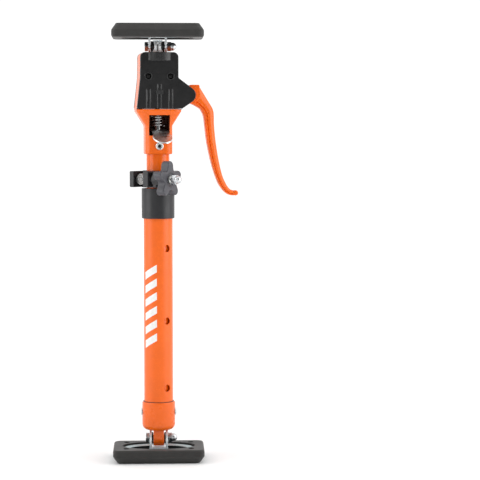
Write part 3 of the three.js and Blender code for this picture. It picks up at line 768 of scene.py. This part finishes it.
def patch(name, angle0, angle1, z0, z1, slant):
    """A thin printed patch on the tube, between two angles from the front, rising by slant."""
    steps = 14
    inside, outside = OUTER_R + 0.01, OUTER_R + 0.07
    rings = []
    for i in range(steps + 1):
        a = math.radians(angle0 + (angle1 - angle0) * i / steps)
        up = slant * i / steps
        rings.append([(r * math.sin(a), -r * math.cos(a), z + up)
                      for r, z in ((inside, z0), (outside, z0), (outside, z1), (inside, z1))])
    return skin(name, rings)


def tube_mark():
    """Plain printed slanting bars on the tube's front, in place of any lettering."""
    count, pitch, first, bar = 6, 15.2, 124, 8.4
    bars = patch("bar", -62, -6, first, first + bar, 9)
    for i in range(1, count):
        join(bars, patch("bar", -62, -6, first + i * pitch, first + i * pitch + bar, 9))
    shift(bars, 0, 0, LIFT)
    bars.name = "tube_mark"
    bars.data.materials.clear()
    bars.data.materials.append(white_print())
    crisp(bars)
    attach(bars, "lower_tube")


finish(outer_tube(), "outer_tube")
finish(inner_tube(), "inner_tube", material=GLOSS_PAINT)
finish(snap_button(), "snap_button")
tube_mark()

# ---------------------------------------------------------------- clamp
EAR_HIGH = 17.6
EAR = {"left": -17.2, "split": 8.4, "right": 11.6, "end": 17}  # along the bolt axis
POCKET = {"left": -11.6, "right": 1.4}
BARREL = {"r": 6.2, "x": -5.1, "front": 25.7, "back": 14.3}
KNOB_BACK, KNOB_FACE, KNOB_R, KNOB_HOLLOW = 23.2, 33.6, 20.2, 4.5


def clamp_place(piece):
    return move(shift(piece, 0, -CLAMP_OUT, CLAMP_Z), TO_CLAMP)


def clamp_collar():
    r, slit, slit_high = 18.2, 301.2, 1.4
    low_z, top = COLLAR_LOW, COLLAR_TOP
    profile = [(0, low_z), (r - 0.5, low_z), (r, low_z + 0.5), (r, top - 1.6), (r - 0.5, top - 0.5), (r - 1.6, top),
               (0, top)]
    collar = turned("collar", profile, 128)
    ear_low, ear_high, reach = CLAMP_Z - EAR_HIGH / 2, CLAMP_Z + EAR_HIGH / 2, -CLAMP_OUT - 8
    near = soften(block("near", EAR["left"], EAR["split"], reach, -8, ear_low, ear_high), 1.1, 4)
    far = soften(block("far", EAR["right"], EAR["end"], reach + 3.5, -8, ear_low, ear_high), 1.1, 4)
    boss = [(0, EAR["right"]), (6.6, EAR["right"]), (7.4, EAR["right"] + 0.8), (7.4, 21.8), (7.1, 22.4), (6.6, 22.6),
            (0, 22.6)]
    join(collar, near, far, shift(along_x(turned("boss", boss, 64)), 0, -CLAMP_OUT, CLAMP_Z))
    cut(collar, drum("tube_seat", OUTER_R + GAP, low_z - 1, slit, TURN_STEPS))
    cut(collar, drum("band_seat", INNER_R + GAP, slit - 1, top + 1, TURN_STEPS))
    cut(collar, block("split", EAR["split"], EAR["right"], reach - 5, 0, slit, top + 1))
    cut(collar, block("slit", -30, 30, -40, 9, slit, slit + slit_high))
    pocket = block("pocket", POCKET["left"], POCKET["right"], reach - 1, -CLAMP_OUT + 8, ear_low - 1, top + 1)
    cut(collar, pocket)
    cut(collar, along_x(shift(drum("bore", BORE_R, -14, 30), -CLAMP_Z, -CLAMP_OUT)))
    soften(collar, 0.35, 2, 40)
    return move(collar, TO_CLAMP)


def barrel_nut():
    """Round nut across the pocket, with a turned rim and a raised middle on its end."""
    r, front, back = BARREL["r"], BARREL["front"], BARREL["back"]
    profile = [(0, back), (r - 0.6, back), (r, back + 0.6), (r, front - 0.7), (r - 0.35, front - 0.15),
               (r - 0.9, front), (r - 1.5, front - 0.1), (r - 1.9, front - 0.6), (2.6, front - 0.7),
               (2.3, front - 0.3), (1.9, front - 0.2), (0, front - 0.2)]
    barrel = forwards(turned("barrel", profile, 64))
    shift(barrel, BARREL["x"], CLAMP_OUT)
    cut(barrel, along_x(drum("bore", BORE_R, -20, 20)))
    return clamp_place(barrel)


def clamp_bolt():
    start = BARREL["x"] - BARREL["r"] + 1
    return clamp_place(threaded_shank("bolt", M6_R, start, KNOB_FACE + 8.5, KNOB_FACE - 4))


def star_outline(r, steps=160):
    """Five round lobes joined by hollows, one lobe upwards."""
    outline = []
    for i in range(steps):
        angle = 2 * math.pi * i / steps
        wave = math.cos(5 * angle)
        radius = r - KNOB_HOLLOW + KNOB_HOLLOW * math.copysign(abs(wave) ** 0.72, wave)
        outline.append((radius * math.sin(angle), radius * math.cos(angle)))
    return outline


def clamp_knob():
    knob = side_slab("knob", star_outline(KNOB_R), KNOB_BACK, KNOB_FACE)
    soften(knob, 1.5, 5, 50)
    face_dish = [(0, KNOB_FACE - 1.3), (6.4, KNOB_FACE - 1.3), (8.2, KNOB_FACE + 0.1), (8.2, KNOB_FACE + 2),
                 (0, KNOB_FACE + 2)]
    cut(knob, along_x(turned("dish", face_dish, 64)))
    cut(knob, along_x(drum("bore", 4.6, KNOB_BACK - 1, KNOB_FACE + 1, 6)))
    return clamp_place(knob)


def knob_insert():
    insert = along_x(drum("insert", 4.2, KNOB_BACK + 0.2, KNOB_FACE - 0.6, 6))
    cut(insert, along_x(drum("bore", 3.2, 0, 60)))
    return clamp_place(insert)


finish(clamp_collar(), "clamp_collar")
finish(barrel_nut(), "clamp_barrel_nut", material=DULL_STEEL)
finish(clamp_bolt(), "clamp_bolt")
finish(clamp_knob(), "clamp_knob")
finish(knob_insert(), "knob_insert")
finish(clamp_place(acorn("nut", KNOB_FACE + 3)), "clamp_cap_nut")

# ---------------------------------------------------------------- head housing
NECK_HALF, NECK_CORNER, NECK_TOP, FLARE_TOP = 15.1, 8, 370, 388.5
SIDE_LOW, SIDE_TOP, KNEE, CORNER = 25, 21, 422.8, 5.5
BODY_HALF = 12
WINDOW = {"half": 11.4, "low": 359.5, "high": 382, "back": 11}
CHAMBER = {"half": 18.3, "low": 388.6, "high": 446.5}
SCREWS = {"left": -12.3, "right": 12.3}
SCREW_Z = 424.5


def head_housing():
    levels = [(NECK_HALF - 0.7, NECK_HALF - 0.7, NECK_LOW), (NECK_HALF, NECK_HALF, NECK_LOW + 0.9),
              (NECK_HALF, NECK_HALF, NECK_TOP - 1.5), (NECK_HALF + 0.3, NECK_HALF, NECK_TOP + 0.8),
              (SIDE_LOW - 0.7, NECK_HALF + 0.9, FLARE_TOP - 3.4), (SIDE_LOW - 0.1, NECK_HALF + 1.2, FLARE_TOP - 2.6),
              (SIDE_LOW, NECK_HALF + 1.3, FLARE_TOP - 0.5), (SIDE_LOW - 0.3, NECK_HALF + 1, FLARE_TOP)]
    housing = skin("housing", [rounded_ring(x, y, NECK_CORNER, z) for x, y, z in levels])
    outline = [(-SIDE_LOW, FLARE_TOP - 0.6), (SIDE_LOW, FLARE_TOP - 0.6), (SIDE_TOP + 1.5, 398), (SIDE_TOP, KNEE)]
    outline += arc(SIDE_TOP - CORNER, BODY_TOP - CORNER, CORNER, 0, 90)
    outline += arc(-SIDE_TOP + CORNER, BODY_TOP - CORNER, CORNER, 90, 180) + [(-SIDE_TOP - 0.3, KNEE)]
    join(housing, slab("body", outline, -BODY_HALF, BODY_HALF))
    cut(housing, block("chamber", -CHAMBER["half"], CHAMBER["half"], -20, 20, CHAMBER["low"], CHAMBER["high"]))
    cut(housing, block("lever_slot", CHAMBER["half"] - 1, 40, -20, 20, CHAMBER["low"], 417.5))
    for x in SCREWS.values():
        side = math.copysign(19, x)
        join(housing, shift(along_y(drum("boss", 4.4, -BODY_HALF, BODY_HALF)), x, 0, SCREW_Z))
        join(housing, block("web", min(x, side), max(x, side), -4, 4, SCREW_Z - 1.5, SCREW_Z + 1.5))
        cut(housing, shift(along_y(drum("hole", 2.3, -20, 20)), x, 0, SCREW_Z))
    join(housing, block("ledge", -19, -14.6, -8, 8, 400, 404.2))
    window = block("window", -WINDOW["half"], WINDOW["half"], -30, WINDOW["back"], WINDOW["low"], WINDOW["high"])
    cut(housing, window)
    cut(housing, drum("tube_seat", INNER_R + GAP, NECK_LOW - 1, 355, TURN_STEPS))
    cut(housing, drum("bush_seat", 6.3, 350, WINDOW["low"] + 1))
    cut(housing, drum("rod_hole", 4.6, WINDOW["high"] - 1, CHAMBER["low"] + 1))
    cut(housing, drum("top_hole", 6.8, CHAMBER["high"] - 1, BODY_TOP + 1))
    cut(housing, shift(along_y(drum("rivet_hole", 2.3, -20, 20)), 0, 0, NECK_RIVET_Z))
    soften(housing, 0.6, 3, 40)
    return move(housing, TO_HEAD)


def neck_rivet(side):
    face = NECK_HALF + GAP
    profile = [(0, 9.7), (2.2, 9.7), (2.2, face), (4.35, face), (4.4, face + 0.35), (4.2, face + 0.85),
               (3.7, face + 1.2), (3.0, face + 1.3), (2.3, face + 1.1), (1.85, face + 0.5),
               (1.7, face - 3.5), (0, face - 3.5)]
    made = forwards(turned("rivet", profile, 56))
    if side == "back":
        move(made, HALF_TURN)
    return move(shift(made, 0, 0, NECK_RIVET_Z), TO_HEAD)


def shade_cavities(piece):
    """The cavities behind the window and under the covers are coloured dark brown: painted shade in the cavities."""
    piece.data.materials.append(CAVITY_SHADE)
    back = TO_HEAD.inverted()
    for face in piece.data.polygons:
        x, y, z = back @ (face.center / MM)
        half = CHAMBER["half"] if z - LIFT > CHAMBER["low"] - 0.3 else WINDOW["half"]
        if abs(x) < half + 0.3 and abs(y) < 12.6 and WINDOW["low"] - 0.3 < z - LIFT < CHAMBER["high"] + 0.3:
            face.material_index = 1


def rivet_bore_shade(side):
    """The mandrel end, deep in the rivet's bore, in black steel: painted shade in the bore."""
    y = NECK_HALF - 2.2
    core = turned("core", [(0, y - 1), (1.65, y - 1), (1.65, y + 1.6), (1.3, y + 1.9), (0, y + 2)], 32)
    forwards(core)
    if side == "back":
        move(core, HALF_TURN)
    return move(shift(core, 0, 0, NECK_RIVET_Z), TO_HEAD)


# the cavities' dark brown is painted shade
shade_cavities(finish(head_housing(), "head_housing"))
for side in ("front", "back"):
    finish(neck_rivet(side), f"neck_rivet_{side}")
    # the black core in each rivet's bore is painted shade
    extra(rivet_bore_shade(side), f"neck_rivet_{side}_core", f"neck_rivet_{side}", BLACK_STEEL, LIFT)

# ---------------------------------------------------------------- covers
COVER_INNER, COVER_OUTER = 12.3, 17
LOBE_R = 8.7


def cover_outline():
    outline = [(-SIDE_LOW, FLARE_TOP + 1.5), (-SIDE_LOW + 1, FLARE_TOP + 0.5), (SIDE_LOW, FLARE_TOP + 0.5)]
    outline += arc(HANDLE_X, HANDLE_Z, LOBE_R, -52, 53, 24) + [(SIDE_TOP, KNEE)]
    outline += arc(SIDE_TOP - CORNER, BODY_TOP - CORNER, CORNER, 0, 90)
    outline += arc(-SIDE_TOP + CORNER, BODY_TOP - CORNER, CORNER, 90, 180)
    return outline + [(-SIDE_TOP - 0.3, KNEE)]


def rib(name, x, top):
    """Two low ridges close together, up the cover's face."""
    made = None
    for edge in (x - 1.9, x + 1.9):
        section = [(-0.95, -COVER_OUTER + 0.1), (-0.12, -COVER_OUTER - 0.75), (0.12, -COVER_OUTER - 0.75),
                   (0.95, -COVER_OUTER + 0.1), (0.95, -COVER_INNER - 1), (-0.95, -COVER_INNER - 1)]
        ridge = skin(name, [[(edge + a, max(b, -COVER_OUTER - h), z) for a, b in section]
                            for z, h in ((FLARE_TOP + 0.6, 1.1), (top - 1.5, 1.1), (top, -0.1))])
        made = join(made, ridge) if made else ridge
    return made


def cover(side):
    """Front cover, or its mirror image with hexagonal nut pockets at the back."""
    front = side == "front"
    made = soften(slab("cover", cover_outline(), -COVER_OUTER, -COVER_INNER), 0.9, 4, 50)
    low = BODY_TOP - 9.2
    boss_profile = [(0, low), (13.8, low), (14.2, low + 0.4), (14.2, BODY_TOP - 0.5), (13.8, BODY_TOP), (0, BODY_TOP)]
    boss = move(turned("boss", boss_profile, 96), Matrix.Diagonal((1, 0.55, 1, 1)))
    shift(boss, 0, -COVER_OUTER + 4)
    cut(boss, block("half", -20, 20, -COVER_INNER, 30, 430, 460))
    join(made, boss, rib("rib", -12.3, 411), rib("rib", -0.2, 416.5), rib("rib", 12.2, 411))
    join(made, soften(block("pip", -4.2, 3.9, -COVER_OUTER - 1.3, -COVER_OUTER + 1, 405, 409.8), 0.5, 3))
    cut(made, block("step", -9.5, 6.8, -COVER_OUTER - 1, -COVER_OUTER + 0.4, 426.8, 428.2))
    for x in SCREWS.values():
        ring = turned("ring", [(3.3, 16), (4.4, 16), (4.4, 17.6), (4.15, 17.9), (3.6, 17.9), (3.3, 17.6)], 48)
        ring = shift(forwards(ring), x, 0, SCREW_Z)
        join(made, ring)
        steps = 48 if front else 6
        deep = forwards(drum("deep", 3.3, COVER_INNER + 1.6, 30, steps))
        cut(made, shift(deep, x, 0, SCREW_Z))
        cut(made, shift(along_y(drum("hole", 2.3, -20, 20)), x, 0, SCREW_Z))
    cut(made, shift(along_y(drum("pin_seat", 3.2, -15.4, 15.4)), HANDLE_X, 0, HANDLE_Z))
    cut(made, drum("rod_hole", 6.9, CHAMBER["high"], BODY_TOP + 1))
    if not front:
        move(made, Matrix.Scale(-1, 4, (0, 1, 0)))
    return move(made, TO_HEAD)


def cover_screw(x):
    face = COVER_INNER + 1.9
    profile = [(0, -16.3), (2, -16.3), (2, face), (2.7, face), (2.7, face + 0.9), (2.3, face + 1.4),
               (1.2, face + 1.75), (0, face + 1.8)]
    made = turned("screw", profile, 40)
    for turn in (0, math.pi / 2):
        slot = move(block("slot", -1.9, 1.9, -0.35, 0.35, face + 0.8, face + 3), Matrix.Rotation(turn, 4, "Z"))
        cut(made, slot)
    return move(shift(forwards(made), x, 0, SCREW_Z), TO_HEAD)


def cover_nut(x):
    nut = drum("nut", 2.9, COVER_INNER + 1.9, COVER_INNER + 4.2, 6)
    cut(nut, drum("bore", 2.15, 0, 30))
    soften(nut, 0.2, 2)
    move(nut, Matrix.Rotation(-math.pi / 2, 4, "X"))
    return move(shift(nut, x, 0, SCREW_Z), TO_HEAD)


def lit_proud_faces(piece):
    """Whatever stands proud of a cover's face gets a lighter, smoother plastic: the lighter colour is a painted
    highlight.
    """
    piece.data.materials.append(HIGHLIGHT_PLASTIC)
    back = TO_HEAD.inverted()
    for face in piece.data.polygons:
        if abs((back @ (face.center / MM)).y) > COVER_OUTER + 0.05:
            face.material_index = 1


for side in ("front", "back"):
    # the covers' proud faces are lighter: painted highlight
    lit_proud_faces(finish(cover(side), f"{side}_cover"))
for side, x in SCREWS.items():
    finish(cover_screw(x), f"cover_screw_{side}", material=BLACK_STEEL)
    finish(cover_nut(x), f"cover_nut_{side}")


# ---------------------------------------------------------------- rod, lug and springs
def push_rod():
    low, high = corners("push_rod")
    r, low, high = 4, low.z - LIFT, high.z - LIFT
    profile = [(0, low), (r - 0.6, low), (r, low + 0.6), (r, high - 0.3), (r - 0.3, high), (0, high)]
    made = turned("rod", profile, 56)
    stop_pin_z = 220
    return cut(made, along_x(shift(drum("cross", 1.6, -20, 20), -stop_pin_z)))


def rod_lug():
    """Two pressed halves, waisted about the pivot, with the seam showing between them."""
    low = corners("rod_lug")[0].z - LIFT
    pivot = HEIGHT - PIVOT - LIFT
    r = 7
    top = pivot + r
    half = [(5.5, low), (5.45, low + 0.5), (4.9, low + 1.3), (4.1, low + 2.5), (3.75, pivot - 2.2), (3.7, pivot),
            (3.75, pivot + 2.2), (4.1, pivot + 4.2), (4.9, top - 1.3), (5.45, top - 0.5), (5.5, top)]
    outline = half + [(-x, z) for x, z in half[::-1]]
    made = slab("lug", outline, -r, r)
    side = [(-r + 0.5, low - 1), (r - 0.5, low - 1)] + arc(0, pivot, r, 0, 180, 32)
    common(made, side_slab("side", side, -10, 10))
    for y in (-r, r):
        cut(made, block("seam", -0.85, 0.85, y - 1.2, y + 1.2, low - 1, top + 1))
    soften(made, 0.45, 3, 40)
    cut(made, drum("rod_seat", 4.15, low - 1, corners("push_rod")[1].z - LIFT + 0.2))
    cut(made, along_x(shift(drum("bore", BORE_R, -20, 20), -pivot)))
    return made


def lug_seams():
    """The dark filling of the lug's seam, at its front and back."""
    half, near, far = 0.85, 5.7, 5.95
    low = corners("rod_lug")[0].z - LIFT
    seams = block("seam", -half, half, -far, -near, low + 0.4, low + 9)
    join(seams, block("seam", -half, half, near, far, low + 0.4, low + 9))
    return soften(seams, 0.04, 2)


def coil(z0, z1, turns, wire, r=5.1):
    """A compression spring with a closed turn at each end."""
    steps = round(28 * (turns + 2))
    path = []
    for i in range(steps + 1):
        t = i / steps * (turns + 2)
        climb = min(max(t - 1, 0), turns) / turns
        closed = min(t, 1) + max(t - turns - 1, 0)
        z = z0 + wire / 2 + 0.9 * wire * closed + (z1 - z0 - 2.8 * wire) * climb
        path.append(Vector((r * math.cos(2 * math.pi * t), r * math.sin(2 * math.pi * t), z)))
    return sweep("coil", path, wire / 2, 12)


def release_plate():
    """Steel plate bent down where it leaves the window, with a round thumb tab."""
    tab_r, stem, thick = 10.8, 9.2, 1.0
    rear, tip = (10, 368.2), (-34, 351.9)
    top_line = [rear, (-9, 365.3), (-11.5, 364.75), (-13.6, 363.9), (-15.8, 362.7), tip]
    low_line = [(tip[0] + 1, tip[1] - thick), (-16.0, 360.3), (-13.8, 361.7), (-11.6, 362.6), (-9, 363.3),
                (rear[0], rear[1] - thick)]
    made = side_slab("plate", top_line + low_line, -tab_r - 1, tab_r + 1)
    tab_y = tip[0] + tab_r + 0.5
    corner = math.degrees(math.acos(stem / tab_r))
    plan = [(-stem, rear[0] + 1)] + arc(0, tab_y, tab_r, 180 - corner, 360 + corner, 48) + [(stem, rear[0] + 1)]
    common(made, skin("plan", [[(x, y, z) for x, y in plan] for z in (340, 380)]))
    cut(made, drum("rod_hole", 4.7, 340, 390))
    soften(made, 0.3, 3, 50)
    return move(made, TO_HEAD @ Matrix.Rotation(math.radians(6), 4, "Z"))


finish(push_rod(), "push_rod", material=GROUND_STEEL)
# the lug's lighter zinc is a painted reflection
finish(rod_lug(), "rod_lug", material=LIT_ZINC)
extra(lug_seams(), "rod_lug_seam", "rod_lug", DULL_STEEL, LIFT)
finish(move(coil(407.9, 444.4, 7, 1.1), TO_HEAD), "drive_spring")
finish(move(coil(369.3, 381.6, 2.5, 1.5, 7), TO_HEAD), "brake_spring")
finish(release_plate(), "release_plate")

# ---------------------------------------------------------------- handle
OUTER_CURVE = [(60.9, 390.2), (62.5, 384), (62.9, 370), (64.7, 352.3), (67.7, 333.4), (71.9, 315.7), (76.4, 305.4),
               (80, 300.4), (83.4, 298.7), (87.2, 298.5)]
INNER_CURVE = [(46.6, 389), (50.4, 381.5), (52.1, 369.5), (53.8, 355.1), (57.2, 337.4), (61.6, 320.7), (67, 306.5),
               (73.3, 297.6), (79.6, 293.4), (87.2, 292.8)]
# the front half of the lever's section: share of the way from inner to outer edge, and depth
SECTION = [(1, 0), (0.985, 1.6), (0.95, 2.7), (0.88, 3.8), (0.76, 5), (0.66, 5.7), (0.58, 6.05), (0.46, 6.1),
           (0.36, 5.9), (0.32, 5.1), (0.285, 4.9), (0.26, 5.5), (0.225, 6.35), (0.18, 6.4), (0.09, 6.0),
           (0.03, 5.1), (0, 3.6)]


def straight(start, end, steps):
    return [Vector(start).lerp(Vector(end), i / steps) for i in range(steps)]


def handle():
    """Lever with a broad rounded back and a groove down each side, a hub, and a finger inside."""
    outer = straight((45.4, 415.2), OUTER_CURVE[0], 8) + through(OUTER_CURVE, 7)
    inner = through([(31, 395.2), (38, 393.9), INNER_CURVE[0]], 4)[:-1] + through(INNER_CURVE, 7)
    rings = []
    for i, (a, b) in enumerate(zip(outer, inner)):
        share = i / (len(outer) - 1)
        deep = 1 - 0.2 * share
        front = [(b.lerp(a, u), -v * deep) for u, v in SECTION]
        back = [(b.lerp(a, u), v * deep) for u, v in SECTION[:0:-1]]
        rings.append([(point.x, y, point.y) for point, y in front + back])
    lever = skin("lever", rings)
    tip = drum("tip", 2.95, -5.2, 5.2, 40)
    join(lever, shift(along_y(soften(tip, 1.9, 4, 50)), 86.6, 0, 295.65))
    root = [(30, 396), (40, 394), (47, 403), (45.7, 415.2), (45, 415.6), (35.5, 415.6), (30, 411)]
    join(lever, soften(slab("root", root, -6.6, 6.6), 1.2, 4))
    hub = along_y(drum("hub", 8, -COVER_INNER + GAP, COVER_INNER - GAP, 64))
    join(lever, shift(soften(hub, 0.6, 3), HANDLE_X, 0, HANDLE_Z))
    finger = [(8.4, 400.2), (8.4, 403.4), (10.5, 404.1), (13, 403.6), (31, 408), (31, 398), (22, 396.4)]
    join(lever, soften(slab("finger", finger, -5, 5), 0.5, 2))
    cut(lever, shift(along_y(drum("pin_hole", 3.2, -20, 20)), HANDLE_X, 0, HANDLE_Z))
    return move(lever, TO_HEAD)


finish(handle(), "handle", 40)


# ---------------------------------------------------------------- floor, light and camera
def floor():
    bm = bmesh.new()
    half = 6000
    bm.faces.new([bm.verts.new((x * half, y * half, 0)) for x, y in ((-1, -1), (1, -1), (1, 1), (-1, 1))])
    made = store("floor", bm, False)
    look = Look("pale_floor")
    base = look.colour(look.noise(3, 3), (0.3, (0.86, 0.86, 0.86)), (0.7, (0.9, 0.9, 0.9)))
    look.feed("Base Color", base)
    distance = look.add("ShaderNodeVectorMath", operation="LENGTH")
    look.link(look.coords, distance.inputs[0])
    # the floor glows, little near the pole and more further out, so the far floor is plain white: painted light
    look.feed("Emission Strength", look.spread(distance.outputs["Value"], 0.02, 0.45, 0.3, 2.5))
    look.set(Roughness=0.9, Emission_Color=(1, 1, 1, 1))
    made.data.materials.append(look.material)


def area_light(name, place, target, size, power):
    data = bpy.data.lights.new(name, "AREA")
    data.shape = "RECTANGLE"
    data.size, data.size_y = size
    data.energy = power
    light = bpy.data.objects.new(name, data)
    bpy.context.scene.collection.objects.link(light)
    light.location = place
    light.rotation_euler = (Vector(target) - Vector(place)).to_track_quat("-Z", "Y").to_euler()


def world(front, back):
    """Even white light, softer from the front than from behind and the sides."""
    made = bpy.data.worlds.new("studio")
    made.use_nodes = True
    tree = made.node_tree
    direction = tree.nodes.new("ShaderNodeSeparateXYZ")
    tree.links.new(tree.nodes.new("ShaderNodeTexCoord").outputs["Generated"], direction.inputs[0])
    level = tree.nodes.new("ShaderNodeMapRange")
    level.interpolation_type = "SMOOTHSTEP"
    level.inputs["From Min"].default_value = -0.9
    level.inputs["From Max"].default_value = 0.3
    level.inputs["To Min"].default_value = front
    level.inputs["To Max"].default_value = back
    tree.links.new(direction.outputs["Y"], level.inputs["Value"])
    seen = tree.nodes.new("ShaderNodeMix")  # the backdrop itself is plain white all round
    seen.inputs[3].default_value = back
    tree.links.new(tree.nodes.new("ShaderNodeLightPath").outputs["Is Camera Ray"], seen.inputs[0])
    tree.links.new(level.outputs["Result"], seen.inputs[2])
    ground = tree.nodes["Background"]
    ground.inputs["Color"].default_value = (1, 1, 1, 1)
    tree.links.new(seen.outputs[0], ground.inputs["Strength"])
    bpy.context.scene.world = made


def camera():
    """Long lens, well off and just above the clamp, looking slightly down, the pole left of the middle."""
    data = bpy.data.cameras.new("camera")
    data.sensor_width = 36
    data.lens = 131.8
    cam = bpy.data.objects.new("camera", data)
    bpy.context.scene.collection.objects.link(cam)
    cam.location = (0, -1.95, 0.37 + LIFT * MM)
    cam.rotation_euler = (math.radians(90 - 3.71), 0, math.radians(-2.67))
    bpy.context.scene.camera = cam


floor()
middle = (0, 0, 0.25)
area_light("left_box", (-1.45, -0.5, 0.7), middle, (1.1, 1.8), 12)
area_light("right_box", (1.45, -0.6, 0.7), middle, (1.4, 1.8), 17)
area_light("top_box", (0, -0.3, 2.2), middle, (1.6, 1.6), 9)
area_light("key_box", (-0.75, -1.7, 1.0), middle, (0.45, 0.6), 3.2)
world(0.1, 1.08)
camera()
bpy.context.scene.view_settings.view_transform = "Standard"
